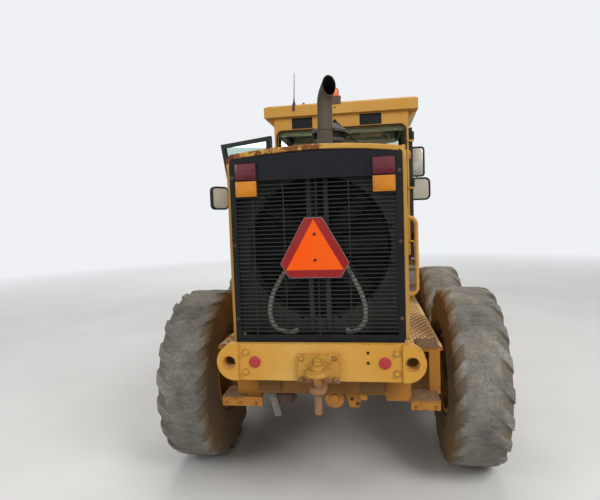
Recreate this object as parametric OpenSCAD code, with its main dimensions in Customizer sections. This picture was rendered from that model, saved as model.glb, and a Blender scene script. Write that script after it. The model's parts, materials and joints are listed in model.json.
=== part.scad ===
/* Articulated motor grader.
   X is the machine's right, Y is forward and Z is up, with the ground at zero.
   Lengths are in millimetres. Every y inside a module is measured from the middle
   of the tandem axle, and placed() moves the whole machine to its own centre. */

/* [Machine] */

// distance between the front axle and the middle of the tandem
wheel_base = 6086; // [5800:1:6300]
// distance between the left and right wheel middles
track = 2075; // [2050:1:2150]
// distance between the two wheels of a tandem case
tandem_pitch = 1522; // [1490:1:1540]

/* [Wheels] */

// outside diameter of a tyre over its lugs
tyre_d = 1345; // [1320:1:1350]
// width of a tyre
tyre_w = 400; // [380:1:405]
// diameter of the rim at the bead
rim_d = 608; // [604:1:612]
// lugs on each half of a tyre
lug_count = 20; // [16:1:22]
// depth of a lug
lug_depth = 26; // [15:1:30]
// how far the front wheels are turned left as the machine stands
steer_rest = 9; // [0:1:12]

/* [Hood] */

// width of the engine hood
hood_w = 1100; // [1090:1:1110]
// height of the hood's top at its shoulders
hood_top = 2335; // [2325:1:2345]
// rise of the hood's top in the middle
hood_crown = 34; // [20:1:40]
// width of the grille panel inside the hood's edge
grille_w = 1030; // [1020:1:1040]
// height of the lower edge of the hood
hood_low = 1168; // [1160:1:1176]
// distance of the grille's face behind the middle of the tandem
hood_back = 1717; // [1705:1:1730]
// number of bars in the grille
grille_bars = 38; // [30:1:42]

/* [Bumper] */

// length of the bumper plate
bumper_w = 1272; // [1240:1:1300]
// height of the bumper plate
bumper_h = 230; // [220:1:240]
// radius of the tie holes at the bumper's ends
tie_hole_r = 37; // [30:1:42]

/* [Cab] */

// width of the cab over its posts
cab_w = 1600; // [1560:1:1620]
// height of the top of the roof
roof_top = 3290; // [3270:1:3330]
// width of the roof
roof_w = 1820; // [1780:1:1850]
// angle at which the left door stands open
door_open = 60; // [50:1:65]

/* [Blade] */

// length of the moldboard
blade_l = 3658; // [3500:1:3700]
// radius of the moldboard's curve
blade_r = 413; // [400:1:425]
// height of the cutting edge above the ground
blade_up = 20; // [5:1:40]
// outside diameter of the circle
circle_d = 1530; // [1500:1:1550]

/* [Hidden] */

// distance from the machine's centre back to the middle of the tandem
y_mid = -2470;

y_front = wheel_base;
pivot_y = 1900;
// middle of the blade's circle
circle_y = 3520;
wheel_z = tyre_d / 2;
wheel_x = track / 2;
king_x = wheel_x - 237.5;

// running clearance in radius between a pin and its bore
pin_gap = 0.1;

yellow = [0.86, 0.58, 0.10];
black = [0.06, 0.065, 0.075];
steel = [0.42, 0.40, 0.37];
rubber = [0.30, 0.29, 0.27];

module placed() {
    translate([0, y_mid, 0]) children();
}

// box from its low corner to its high corner
module box(a, b) {
    translate(a) cube([b[0] - a[0], b[1] - a[1], b[2] - a[2]]);
}

// the same box on both sides of the machine
module both() {
    children();
    mirror([1, 0, 0]) children();
}

module rod_x(r, x0, x1, y, z, fn = 40) {
    translate([x0, y, z]) rotate([0, 90, 0]) cylinder(r = r, h = x1 - x0, $fn = fn);
}

module rod_y(r, x, y0, y1, z, fn = 40) {
    translate([x, y0, z]) rotate([-90, 0, 0]) cylinder(r = r, h = y1 - y0, $fn = fn);
}

module rod_z(r, x, y, z0, z1, fn = 40) {
    translate([x, y, z0]) cylinder(r = r, h = z1 - z0, $fn = fn);
}

/* Rear frame and its axle */

rail_in = 250;
rail_out = 400;
rail_low = 820;
rail_top = 1120;
ear_gap = 10;
ear_r = 180;
hitch_pin_r = 55;

module rear_frame() color(yellow) placed() {
    difference() {
        union() {
            both() slab([[-1680, 900], [-1600, rail_low], [1240, rail_low], [1400, 755], [1560, 755],
                [1560, rail_top], [-1680, rail_top]], rail_in, rail_out);
            // cross members: y0, y1, z0, z1
            for (c = [[-1680, -1600, 830, 1110], [-700, -560, 860, 1060],
                      [400, 540, 860, 1060], [1400, 1560, rail_low, rail_top]])
                box([-rail_out, c[0], c[2]], [rail_out, c[1], c[3]]);
            // blocks that sit on the axle's trumpets
            both() box([rail_in, -230, axle_seat_z + 0.3], [rail_out, 230, rail_low]);
            // the hitch's two ears
            for (z = [[755, 825], [1045, 1115]]) translate([0, 0, z[0]])
                linear_extrude(height = z[1] - z[0]) union() {
                    polygon([[-320, 1540], [320, 1540], [ear_r - 12, pivot_y + 40], [12 - ear_r, pivot_y + 40]]);
                    translate([0, pivot_y]) circle(r = ear_r, $fn = 64);
                }
            box([-rail_out, 1400, 755], [rail_out, 1560, 830]);
            rod_z(hitch_pin_r, 0, pivot_y, 740, 1130, 48);
        }
        both() rod_x(trumpet_r + 0.5, rail_in - 10, rail_out + 10, 0, wheel_z, 64);
        // holes that lighten the cross members
        for (y = [-760, 340]) rod_y(60, 0, y, y + 260, 960);
    }
}

// the bumper ends just under the hood
bumper_z = hood_low - 3 - bumper_h / 2;

module rear_bumper() color(yellow) placed() {
    end = bumper_w / 2 - bumper_h / 2;
    difference() {
        union() {
            box([-end, -1750, bumper_z - bumper_h / 2], [end, -1690, bumper_z + bumper_h / 2]);
            for (s = [-1, 1]) rod_y(bumper_h / 2, s * end, -1750, -1690, bumper_z, 64);
            // end lugs stand proud of the plate
            both() intersection() {
                rod_y(bumper_h / 2, end, -1762, -1749, bumper_z, 64);
                box([498, -1800, bumper_z - bumper_h], [bumper_w, -1700, bumper_z + bumper_h]);
            }
            // blocks between the plate and the frame
            both() box([250, -1691, 850], [390, -1680.5, 1100]);
        }
        for (s = [-1, 1]) rod_y(tie_hole_r, s * 556, -1800, -1650, bumper_z, 48);
    }
}

tow_y = -1835;

module tow_hitch() color(steel) placed() {
    difference() {
        union() {
            box([-127, -1776, 932], [127, -1750.5, 1107]);
            // lugs: radius, z0, z1
            for (lug = [[50, 900, 928], [64, 1000, 1030]]) {
                box([-lug[0], tow_y, lug[1]], [lug[0], -1770, lug[2]]);
                rod_z(lug[0], 0, tow_y, lug[1], lug[2], 48);
            }
            box([-50, -1776, 900], [50, -1750.5, 940]);
        }
        for (x = [-100, 100], z = [955, 1085]) rod_y(9, x, -1800, -1740, z, 20);
        rod_z(24, 0, tow_y, 870, 1050, 32);
    }
    // the pin with its head and its handle's ring
    rod_z(22, 0, tow_y, 768, 1032, 32);
    rod_z(36, 0, tow_y, 1030.5, 1062, 32);
}

axle_seat_z = 760;
trumpet_r = 120;
case_in = 600;
case_out = 790;
case_r = 215;
hub_r = 130;
spindle_r = 55;
// section of the axle's housing, turned about the axle: radius and place along it, right half
housing = [[0, 0], [250, 0], [243, 55], [222, 105], [188, 155], [152, 200], [trumpet_r + 6, 234],
    [trumpet_r, 249], [trumpet_r, 505], [170, 520], [170, case_in + 5], [0, case_in + 5]];

// a chain case: narrower between its round ends
module chain_case() {
    rotate([90, 0, 90]) linear_extrude(height = case_out - case_in) union() {
        square([tandem_pitch, 2 * case_r - 24], center = true);
        for (s = [-1, 1]) translate([s * tandem_pitch / 2, 0]) circle(r = case_r, $fn = 64);
    }
}

module rear_axle() color(yellow) placed() translate([0, 0, wheel_z]) {
    both() {
        rotate([0, 90, 0]) rotate_extrude($fn = 64) polygon(housing);
        // seats under the frame's blocks
        box([rail_in + 5, -190, 40], [rail_out - 5, 190, axle_seat_z - wheel_z]);
        translate([case_in, 0, 0]) chain_case();
        for (s = [-1, 1]) {
            rod_x(hub_r, case_out - 1, 860, s * tandem_pitch / 2, 0, 48);
            rod_x(spindle_r, 855, wheel_x + 92, s * tandem_pitch / 2, 0, 40);
        }
        rod_x(150, case_out - 1, case_out + 12, 0, 0, 48);
    }
    // pinion housing to the front, round cover to the rear
    rod_y(90, 0, 200, 420, 0, 40);
    rod_y(135, 0, -285, -200, 0, 48);
}

/* Hood and what it holds */

hood_front = 850;
hood_x = hood_w / 2;
// the hood's own rear edge is ahead of the grille's face
hood_rear = hood_back - 62;
skin = 24;
shoulder_r = 45;
door_y0 = -1240;
door_y1 = 560;
door_z0 = 1440;
door_z1 = 2150;

// outline over walls and top, from the right foot to the left: x and z, in from the hood's skin by d
function hood_line(x, top, low, crown, r) = concat([[x, low]],
    [for (i = [0:6]) [x - r + r * cos(i * 15), top - r + r * sin(i * 15)]],
    [for (i = [1:11]) let (u = 1 - i / 6) [u * (x - r), top + crown * (1 - u * u)]],
    [for (i = [6:-1:0]) [-x + r - r * cos(i * 15), top - r + r * sin(i * 15)]], [[-x, low]]);

module hood_form(d, y0, y1) {
    rotate([90, 0, 0]) translate([0, 0, -y1]) linear_extrude(height = y1 - y0)
        polygon(hood_line(hood_x - d, hood_top - d, hood_low - (d > 0 ? 5 : 0), hood_crown, shoulder_r - d));
}

module hood() color(yellow) placed() {
    difference() {
        union() {
            difference() {
                hood_form(0, -hood_rear, hood_front);
                hood_form(skin, -hood_rear - 10, hood_front - skin);
            }
            // feet on the frame rails
            both() box([rail_in, -1500, rail_top + 0.5], [rail_out, -1440, hood_low + 60]);
            both() box([rail_in, 700, rail_top + 0.5], [rail_out, hood_front, hood_low + 60]);
            both() box([rail_in, -1500, hood_low], [hood_x - 5, -1440, hood_low + 60]);
            flap_lugs();
        }
        both() box([hood_x - skin - 1, door_y0, door_z0], [hood_x + 1, door_y1, door_z1]);
        // openings for the stack and the air pipe
        rod_z(80, stack_x, stack_y, hood_top - 80, hood_top + hood_crown + 10);
        rod_z(84, air_x, air_y, hood_top - 80, hood_top + hood_crown + 10);
    }
}

flap_x = hood_x + 20;
flap_z = door_z1 + 10;
flap_pin = 8;
flap_rows = [-1000, 240];

// hinge lugs and pins on the hood
module flap_lugs() {
    both() for (y = flap_rows) {
        for (e = [-14, 80]) box([hood_x - 1, y + e, flap_z - 10], [flap_x + 8, y + e + 14, flap_z + 10]);
        rod_y(flap_pin, flap_x, y - 10, y + 90, flap_z, 24);
    }
}

module engine_door(s) {
    g = 7;
    color(yellow) placed() mirror([s > 0 ? 0 : 1, 0, 0]) difference() {
        union() {
            box([hood_x - skin, door_y0 + g, door_z0 + g], [hood_x, door_y1 - g, door_z1 - g]);
            // latch handle
            box([hood_x - 1, -400, door_z0 + 60], [hood_x + 14, -260, door_z0 + 90]);
            for (y = flap_rows) {
                rod_y(flap_pin + 6, flap_x, y + 3, y + 77, flap_z, 24);
                box([hood_x - 1, y + 3, door_z1 - 60], [hood_x + 6, y + 77, door_z1 - g - 1]);
                box([hood_x + 1, y + 3, flap_z - 30], [flap_x, y + 77, flap_z - 4]);
            }
        }
        for (y = flap_rows) rod_y(flap_pin + pin_gap, flap_x, y - 20, y + 100, flap_z, 24);
        // cooling slots: one row of uprights
        for (i = [0:8])
            box([hood_x - 40, door_y0 + 160 + i * 70, 1760],
                [hood_x + 40, door_y0 + 190 + i * 70, 2040]);
    }
}

module engine_door_left() { engine_door(-1); }
module engine_door_right() { engine_door(1); }

win_top = 2055;
win_low = 1207;
band_low = 2157;
band_top = 2284;
lamp_in = 345;
lamp_out = 482;
panel_t = 26.5;

module grille() color(black) placed() {
    y0 = -hood_back;
    y1 = y0 + panel_t;
    half = grille_w / 2;
    pitch = (band_low - win_low) / grille_bars;
    difference() {
        union() {
            rotate([90, 0, 0]) translate([0, 0, -y1]) linear_extrude(height = panel_t)
                polygon(hood_line(half, hood_top - 44, hood_low, hood_crown - 8, 25));
            // the panel's rim runs forward into the hood
            rotate([90, 0, 0]) translate([0, 0, hood_rear - 30]) linear_extrude(height = hood_back - hood_rear + 29)
                difference() {
                    polygon(hood_line(half, hood_top - 44, hood_low, hood_crown - 8, 25));
                    polygon(hood_line(half - 14, hood_top - 58, hood_low - 1, hood_crown - 8, 11));
                }
            rotate([90, 0, 0]) translate([0, 0, hood_rear - 30]) linear_extrude(height = 30) difference() {
                polygon(hood_line(hood_x - skin - 0.3, hood_top - skin - 0.3, hood_low, hood_crown, shoulder_r - skin));
                polygon(hood_line(half - 14, hood_top - 58, hood_low - 1, hood_crown - 8, 11));
            }
        }
        box([-lamp_out, y0 - 1, win_low], [lamp_out, y1 + 1, win_top]);
        box([-lamp_in, y0 - 1, win_top - 1], [lamp_in, y1 + 1, band_low]);
        // seats of the lamps
        both() box([lamp_in - 0.5, y0 - 1, win_top + 4], [lamp_out, y0 + 14, 2270]);
    }
    for (i = [1:grille_bars - 1]) {
        z = win_low + i * pitch;
        w = z > win_top ? lamp_in : lamp_out;
        box([-w - 1, y0 + 5, z - 2.5], [w + 1, y0 + 13, z + 2.5]);
    }
    for (x = [-380, -190, 10, 205])
        box([x - 3, y0 + 12, win_low - 1], [x + 3, y0 + 20, abs(x) < lamp_in ? band_low + 1 : win_top + 1]);
    // the bare name band
    box([-335, y0 - 8, band_low], [320, y0 + 1, band_top]);
}

module rear_lamps() color([0.60, 0.08, 0.10]) placed() {
    y0 = -hood_back;
    both() {
        box([lamp_in + 3, y0 - 16, 2166], [lamp_out - 3, y0 + 13.5, 2264]);
        box([lamp_in + 3, y0 - 16, 2064], [lamp_out - 3, y0 + 13.5, 2158]);
        // round reflectors on the bumper
        rod_y(33, 395, -1759, -1750.5, bumper_z, 40);
    }
}

sign_z = 1565;

module warning_sign() color([0.86, 0.32, 0.12]) placed() {
    // outline of the sign: half width and height above its lower edge
    translate([-8, -hood_back - 10, sign_z]) rotate([90, 0, 0]) linear_extrude(height = 3)
        polygon([[-156, 0], [156, 0], [207, 86], [53, 360], [-53, 360], [-207, 86]]);
    for (z = [106, 262]) rod_y(8, -8, -hood_back - 14, -hood_back + 4.7, sign_z + z, 16);
}

fan_z = 1735;
fan_r = 436;
shroud_r = 458;
shroud_y = -1530;

module fan_shroud() color(black) placed() {
    difference() {
        union() {
            rotate([90, 0, 0]) translate([0, 0, -shroud_y - 20]) linear_extrude(height = 20)
                polygon(hood_line(hood_x - skin - 0.3, hood_top - skin - 0.3, hood_low + 13, hood_crown, shoulder_r - skin));
            rod_y(shroud_r + 16, 0, shroud_y + 15, shroud_y + 130, fan_z, 72);
        }
        rod_y(shroud_r, 0, shroud_y - 10, shroud_y + 140, fan_z, 72);
    }
    // uprights that carry the fan's motor
    for (x = [-70, 40]) box([x, shroud_y - 22, 1190], [x + 30, shroud_y + 1, 2260]);
    box([-71, shroud_y - 22, fan_z - 60], [71, shroud_y + 1, fan_z + 60]);
    rod_y(30, 0, shroud_y - 22, shroud_y + 28, fan_z, 32);
}

// section of a fan blade: a bent strip
blade_section = concat([for (t = [-22:5.5:22]) 163 * [cos(t), sin(t)] - [160, 0]],
    [for (t = [22:-5.5:-22]) 157 * [cos(t), sin(t)] - [160, 0]]);

module fan() color(black) placed() {
    difference() {
        rod_y(90, 0, -1508, -1410, fan_z, 40);
        rod_y(30 + pin_gap, 0, -1520, -1500, fan_z, 32);
    }
    // curved blades, set at an angle to the hub
    for (a = [0:45:315]) translate([0, -1460, fan_z]) rotate([0, a, 0]) translate([80, 0, 0])
        rotate([0, 90, 0]) rotate([0, 0, 60]) linear_extrude(height = fan_r - 80) polygon(blade_section);
}

module radiator() color([0.20, 0.20, 0.20]) placed() {
    box([-470, -1392, 1200], [470, -1265, 2225]);
    box([-480, -1390, rail_top + 0.3], [480, -1300, 1201]);
}

// right half of the engine's outline across the machine: x and z
engine_half = [[340, rail_top + 0.3], [340, 1180], [262, 1240], [262, 1560], [176, 1700], [176, 1862], [140, 1905]];

module engine_block() color(steel) placed() {
    rotate([90, 0, 0]) translate([0, 0, -300]) linear_extrude(height = 1240)
        polygon(concat(engine_half, [for (i = [len(engine_half) - 1:-1:0]) [-engine_half[i][0], engine_half[i][1]]]));
    // flywheel housing, pulley and belt, exhaust manifold and its runners
    rod_y(300, 0, 299, 400, 1480, 64);
    rod_y(120, 0, -1000, -939, 1330, 48);
    rod_y(42, 290, -860, 220, 1640, 32);
    for (i = [0:5]) {
        y = -820 + i * 195;
        rod_x(30, 180, 300, y, 1640, 24);
        // rocker covers over the cylinders
        box([-118, y - 78, 1904], [118, y + 78, 1968]);
    }
}

// centre line points of the right hose; the left one mirrors it
hose_path = [[180, -1530.3, 1662], [180, -1565, 1662], [188, -1600, 1630], [215, -1612, 1560], [250, -1618, 1500], [280, -1620, 1430],
    [292, -1620, 1360], [285, -1620, 1300], [255, -1620, 1262], [205, -1612, 1250],
    [150, -1605, 1250], [112, -1580, 1250], [105, -1555, 1250], [105, -1530.3, 1250]];
hose_r = 24;
hose_sides = 10;

// a tube swept along points, its ring radius swelling at every second ring
module hose(path, r, swell) {
    n = len(path);
    function tang(i) = let (a = path[max(0, i - 1)], b = path[min(n - 1, i + 1)], d = b - a) d / norm(d);
    pts = [for (i = [0:n - 1]) let (t = tang(i), u0 = cross(t, [0.3, 0.2, 0.9]), u = u0 / norm(u0), v = cross(t, u))
        for (k = [0:hose_sides - 1]) let (a = 360 * k / hose_sides, q = r + (i % 2) * swell)
            path[i] + q * (cos(a) * u + sin(a) * v)];
    sides = [for (i = [0:n - 2], k = [0:hose_sides - 1]) let (k2 = (k + 1) % hose_sides)
        [i * hose_sides + k, i * hose_sides + k2, (i + 1) * hose_sides + k2, (i + 1) * hose_sides + k]];
    ends = [[for (k = [hose_sides - 1:-1:0]) k], [for (k = [0:hose_sides - 1]) (n - 1) * hose_sides + k]];
    polyhedron(points = pts, faces = concat(sides, ends), convexity = 6);
}

// the path with points added halfway between each two
function finer(p) = [for (i = [0:2 * len(p) - 2]) i % 2 == 0 ? p[i / 2] : (p[(i - 1) / 2] + p[(i + 1) / 2]) / 2];

module cooling_hoses() color([0.45, 0.44, 0.42]) placed() {
    both() hose(finer(finer(hose_path)), hose_r, 5);
}

stack_x = -48;
stack_y = -300;

stack_r = 68;
bend_r = 200;
bend_a = 50;
stack_h = 770;

// places its children at the top of the pipe, turned so that the bend leans to the right and the rear
module stack_top() {
    translate([stack_x, stack_y, 2200]) rotate([0, -2.3, 0]) translate([0, 0, stack_h - 1])
        rotate([0, 0, 140]) translate([-bend_r, 0, 0]) children();
}

module exhaust_stack() color([0.20, 0.17, 0.15]) placed() difference() {
    union() {
        translate([stack_x, stack_y, 2200]) rotate([0, -2.3, 0]) {
            cylinder(r = stack_r, h = stack_h, $fn = 48);
            translate([0, 0, 610]) cylinder(r = stack_r + 6, h = 26, $fn = 48);
        }
        // the bend at the top opens to the rear and the right
        stack_top() rotate([90, 0, 0]) rotate_extrude(angle = bend_a, $fn = 48)
            translate([bend_r, 0]) circle(r = stack_r - 4, $fn = 40);
        rod_z(105, stack_x - 4, stack_y, hood_top + hood_crown + 0.3, hood_top + hood_crown + 12, 48);
    }
    stack_top() rotate([0, -bend_a, 0]) translate([bend_r, 0, -70]) cylinder(r = stack_r - 9, h = 90, $fn = 40);
}

air_x = -75;
air_y = 500;
// section of the air pipe with its collars and of the bowl on top: radius and height
bowl = [[70, 2200], [78, 2200], [78, hood_top + hood_crown + 0.3], [115, hood_top + hood_crown + 0.3],
    [115, hood_top + hood_crown + 12], [78, hood_top + hood_crown + 12], [78, 2440], [86, 2440], [86, 2466],
    [78, 2466], [78, 2670], [120, 2670], [172, 2715], [185, 2745], [185, 2790], [176, 2840], [140, 2905],
    [70, 2940], [0, 2940], [0, 2650], [70, 2650]];

module precleaner() color([0.30, 0.31, 0.32]) placed() {
    translate([air_x, air_y, 0]) rotate_extrude($fn = 64) polygon(bowl);
}

// walkway beside the hood, steps behind it: x0, x1, y0, y1, z0, z1, mirrored too
step_rows = [[522, 800, -1250, 900, 985, 1010, 1], [522, 545, -1250, 900, 930, 986, 1],
    [550, 727, -1640, -1455, 762, 787, 0], [-650, -500, -1640, -1455, 762, 787, 0],
    [550, 727, -1640, -1628, 724, 763, 0], [-650, -385, -1640, -1628, 724, 787, 0],
    [680, 750, -1468, -1452, 763, 1042, 0], [610, 750, -1468, -1240, 1041, 1066, 0],
    [610, 750, -1260, -1244, 986, 1042, 0], [400.5, 556, -1600, -1540, 764, 900, 1]];

module rear_steps() color(yellow) placed() {
    for (r = step_rows) {
        box([r[0], r[2], r[4]], [r[1], r[3], r[5]]);
        if (r[6] > 0) box([-r[1], r[2], r[4]], [-r[0], r[3], r[5]]);
    }
    // brackets from the frame rails
    both() for (y = [-1100, -200, 700]) box([rail_out + 0.5, y, 870], [524, y + 40, 950]);
}

rail_r = 13;
rail_bend = 45;
rail_x = 612;
rail_z = [1420, 1905];

module handrail() color(yellow) placed() {
    rod_z(rail_r, rail_x, -1500, rail_z[0] + rail_bend, rail_z[1] - rail_bend, 24);
    for (e = [[rail_z[0], 1], [rail_z[1], -1]]) {
        rod_x(rail_r, hood_x + 3, rail_x - rail_bend, -1500, e[0], 24);
        rod_x(24, hood_x + 0.5, hood_x + 8, -1500, e[0], 24);
        translate([rail_x - rail_bend, -1500, e[0] + e[1] * rail_bend]) rotate([90, 0, 0])
            mirror([0, e[1] > 0 ? 1 : 0, 0]) rotate_extrude(angle = 90, $fn = 48)
                translate([rail_bend, 0]) circle(r = rail_r, $fn = 24);
    }
}

/* Front frame and axle */

beam_low = 1620;
beam_top = 1940;
beam_x = 140;
knuckle_z0 = 825 + ear_gap;
knuckle_z1 = 1045 - ear_gap;
nose_x = 160;
axle_pin_r = 40;
axle_pin_z = 880;
// the drawbar's front pivot: a round head that turns in the frame's jaw
ball_y = y_front - 386;
ball_z = 900;
ball_r = 60;
ball_half = 64;

module front_frame() color(yellow) placed() {
    difference() {
        union() {
            // the hitch's knuckle and the arm to the lower frame
            rod_z(150, 0, pivot_y, knuckle_z0, knuckle_z1, 64);
            box([-150, pivot_y, knuckle_z0], [150, 2200, knuckle_z1]);
            box([-260, 2150, 780], [260, 2640, 1300]);
            // cab mounts on the lower frame
            box([-560, 2150, 1180], [560, 2300, 1300]);
            // the neck rises to the beam
            rotate([90, 0, 90]) translate([0, 0, -beam_x - 20]) linear_extrude(height = 2 * beam_x + 40)
                polygon([[2345, 1200], [2640, 1200], [2700, 1350], [2700, beam_low - 60],
                         [2760, beam_low], [2900, beam_top], [2650, beam_top - 60], [2500, 1700],
                         [2345, 1450]]);
            box([-beam_x, 2700, beam_low], [beam_x, y_front - 186, beam_top]);
            // the nose comes down to the axle: y from the axle, z
            translate([0, y_front, 0]) {
                rotate([90, 0, 90]) translate([0, 0, -nose_x]) linear_extrude(height = 2 * nose_x)
                    polygon([[-736, beam_low], [-600, 1480], [-526, 1350], [-446, 1120], [244, 1120],
                             [244, 1500], [190, 1700], [64, beam_top - 40], [-186, beam_top], [-736, beam_top]]);
                // ears that hold the axle's centre pin
                for (y = [-186, 116]) box([-nose_x, y, 780], [nose_x, y + 70, 1125]);
                rod_y(axle_pin_r, 0, -206, 206, axle_pin_z);
                // jaw of the drawbar's pivot and the tow plate
                box([-110, ball_y - y_front - 20, 790], [110, -226, 1125]);
                box([-120, 239, 900], [120, 334, 1400]);
            }
        }
        rod_z(hitch_pin_r + pin_gap, 0, pivot_y, 700, 1200, 48);
        rod_x(ball_r + 0.3, -ball_half - 2, ball_half + 2, ball_y, ball_z);
        // tow hole at the nose
        rod_x(30, -200, 200, y_front + 294, 980);
    }
}

saddle_y = circle_y - 100;
lift_x = 480;
lift_z = 2060;
trunnion_r = 30;
// outer faces of the plates that hold a cylinder's trunnion, from its middle
cheek = 106;

module lift_saddle() color(yellow) placed() {
    difference() {
        union() {
            // yoke round the beam: x and z
            rotate([90, 0, 0]) translate([0, 0, -saddle_y - 120]) linear_extrude(height = 240)
                polygon([[-250, beam_low - 40], [250, beam_low - 40], [250, beam_top - 70], [180, beam_top + 40],
                         [-180, beam_top + 40], [-250, beam_top - 70]]);
            // wings that reach out behind the cylinders
            rotate([90, 0, 0]) translate([0, 0, 86 - saddle_y]) linear_extrude(height = 32)
                polygon([[-lift_x - cheek, lift_z + 70], [-lift_x - cheek, lift_z - 70], [60 - lift_x, lift_z - 110],
                         [-249, beam_top - 200], [249, beam_top - 200], [lift_x - 60, lift_z - 110],
                         [lift_x + cheek, lift_z - 70], [lift_x + cheek, lift_z + 70], [180, beam_top + 190],
                         [-180, beam_top + 190]]);
            both() for (x = [-cheek, cheek - 30]) {
                box([lift_x + x, saddle_y - 90, lift_z - 70], [lift_x + x + 30, saddle_y, lift_z + 70]);
                rod_x(70, lift_x + x, lift_x + x + 30, saddle_y, lift_z, 48);
            }
        }
        box([-beam_x - 0.3, saddle_y - 130, beam_low - 0.3], [beam_x + 0.3, saddle_y + 130, beam_top + 0.3]);
        both() rod_x(trunnion_r + pin_gap, lift_x - cheek - 5, lift_x + cheek + 5, saddle_y, lift_z);
    }
}

axle_half = 95;

module front_axle() color(yellow) placed() {
    difference() {
        union() {
            // arched beam: x and z
            rotate([90, 0, 0]) translate([0, 0, -y_front - axle_half]) linear_extrude(height = 2 * axle_half)
                polygon([[-730, 592], [-430, 640], [-200, 720], [200, 720], [430, 640], [730, 592], [730, 755],
                         [420, 765], [150, 960], [-150, 960], [-420, 765], [-730, 755]]);
            both() {
                rod_z(80, king_x, y_front, 570, 775);
                box([700, y_front - 80, 590], [king_x, y_front + 80, 755]);
            }
        }
        rod_y(axle_pin_r + 0.5, 0, y_front - 236, y_front + 234, axle_pin_z);
        both() rod_z(35 + pin_gap, king_x, y_front, 500, 850, 32);
    }
}

module steered(s) {
    translate([s * king_x, y_front, 0]) rotate([0, 0, steer_rest]) translate([-s * king_x, -y_front, 0])
        children();
}

module knuckle() {
    for (z = [[510, 562], [783, 835]]) {
        rod_z(75, king_x, y_front, z[0], z[1]);
        box([king_x, y_front - 75, z[0]], [900, y_front + 75, z[1]]);
    }
    rod_z(35, king_x, y_front, 505, 840, 32);
    box([885, y_front - 75, 510], [915, y_front + 75, 835]);
    rod_x(90, 910, 935, y_front, wheel_z);
    rod_x(spindle_r, 930, wheel_x + 92, y_front, wheel_z);
}

module knuckle_left() { color(yellow) placed() steered(-1) mirror([1, 0, 0]) knuckle(); }
module knuckle_right() { color(yellow) placed() steered(1) knuckle(); }

/* Wheels */

// half section of a rim: radius and place across the width
bead_r = rim_d / 2;
rim_section = [[100, 30], [bead_r - 49, 22], [bead_r - 29, -40], [bead_r - 29, -165], [bead_r - 4, -165],
    [bead_r, -150], [bead_r, 150], [bead_r - 4, 165], [bead_r - 29, 165], [bead_r - 29, 60],
    [bead_r - 42, 45], [110, 62], [110, 95], [58, 95], [58, 110], [0, 110], [0, 96],
    [spindle_r + pin_gap, 96], [spindle_r + pin_gap, -40], [100, -40]];

module rim_at(s, y) {
    color(yellow) placed() translate([s * wheel_x, y, wheel_z]) rotate([0, 90 * s, 0])
        rotate_extrude($fn = 64) polygon(rim_section);
}

// tyre rings: place across the width, radius in a groove, height of the lug, half of the tread
tyre_rows = [[-150, bead_r + 0.7, 0, 0], [-200, 480, 0, 0], [-176, 626, 0.75, -1], [-20, 646, 1, -1],
    [20, 646, 1, 1], [176, 626, 0.75, 1], [200, 480, 0, 0], [150, bead_r + 0.7, 0, 0]];

module tyre_at(s, y) {
    n = lug_count * 3;
    m = len(tyre_rows);
    // a lug lifts two of every three rings, and runs back as it nears the shoulder
    function lift(i, row) = row[2] == 0 ? 0 :
        ((i + (row[3] > 0 ? 1 : 0) + (abs(row[0]) > 100 ? 1 : 0)) % 3 == 0 ? 0 : row[2] * lug_depth);
    pts = [for (i = [0:n - 1]) for (row = tyre_rows)
        let (a = 360 * i / n, r = min(tyre_d / 2, row[1] + lift(i, row)))
            [row[0] * tyre_w / 400, r * cos(a), r * sin(a)]];
    faces = [for (i = [0:n - 1], k = [0:m - 1]) let (i2 = (i + 1) % n, k2 = (k + 1) % m)
        each [[i * m + k, i * m + k2, i2 * m + k2], [i * m + k, i2 * m + k2, i2 * m + k]]];
    color(rubber) placed() translate([s * wheel_x, y, wheel_z]) rotate([0, 0, s > 0 ? 0 : 180])
        polyhedron(points = pts, faces = faces, convexity = 8);
}

module front_place(s) {
    translate([0, y_mid, 0]) steered(s) translate([0, -y_mid, 0]) children();
}

module rim_front_left() { front_place(-1) rim_at(-1, y_front); }
module rim_front_right() { front_place(1) rim_at(1, y_front); }
module rim_mid_left() { rim_at(-1, tandem_pitch / 2); }
module rim_mid_right() { rim_at(1, tandem_pitch / 2); }
module rim_rear_left() { rim_at(-1, -tandem_pitch / 2); }
module rim_rear_right() { rim_at(1, -tandem_pitch / 2); }
module tyre_front_left() { front_place(-1) tyre_at(-1, y_front); }
module tyre_front_right() { front_place(1) tyre_at(1, y_front); }
module tyre_mid_left() { tyre_at(-1, tandem_pitch / 2); }
module tyre_mid_right() { tyre_at(1, tandem_pitch / 2); }
module tyre_rear_left() { tyre_at(-1, -tandem_pitch / 2); }
module tyre_rear_right() { tyre_at(1, -tandem_pitch / 2); }

/* Cab */

cab_x = cab_w / 2;
cab_back = 1200;
wall_t = 50;
floor_z = 1380;
head_z = 2950;
post = 70;
front_x = 430;
side_y = [1860, 2180];
// the corner panels run in and forward from the door posts at one slope
corner_slope = 1.27;
function corner_y(i, x) = side_y[i] + (cab_x - x) * corner_slope;
// outline of the floor and of the head of the cab, right half: x and y
floor_line = [[cab_x, 1200], [cab_x, side_y[0]], [front_x, corner_y(0, front_x)]];
head_line = [[cab_x, 1200], [cab_x, side_y[1]], [front_x, corner_y(1, front_x)]];

hinge_x = cab_x + 46;
hinge_y = cab_back - 6;
hinge_rows = [1620, 2250, 2800];
hinge_pin = 10;

module outline(line, inset = 0) {
    half = [for (p = line) [p[0] - inset, p[1] + (p[1] < 1300 ? inset : -inset)]];
    polygon(concat(half, [for (i = [len(half) - 1:-1:0]) [-half[i][0], half[i][1]]]));
}

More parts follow.
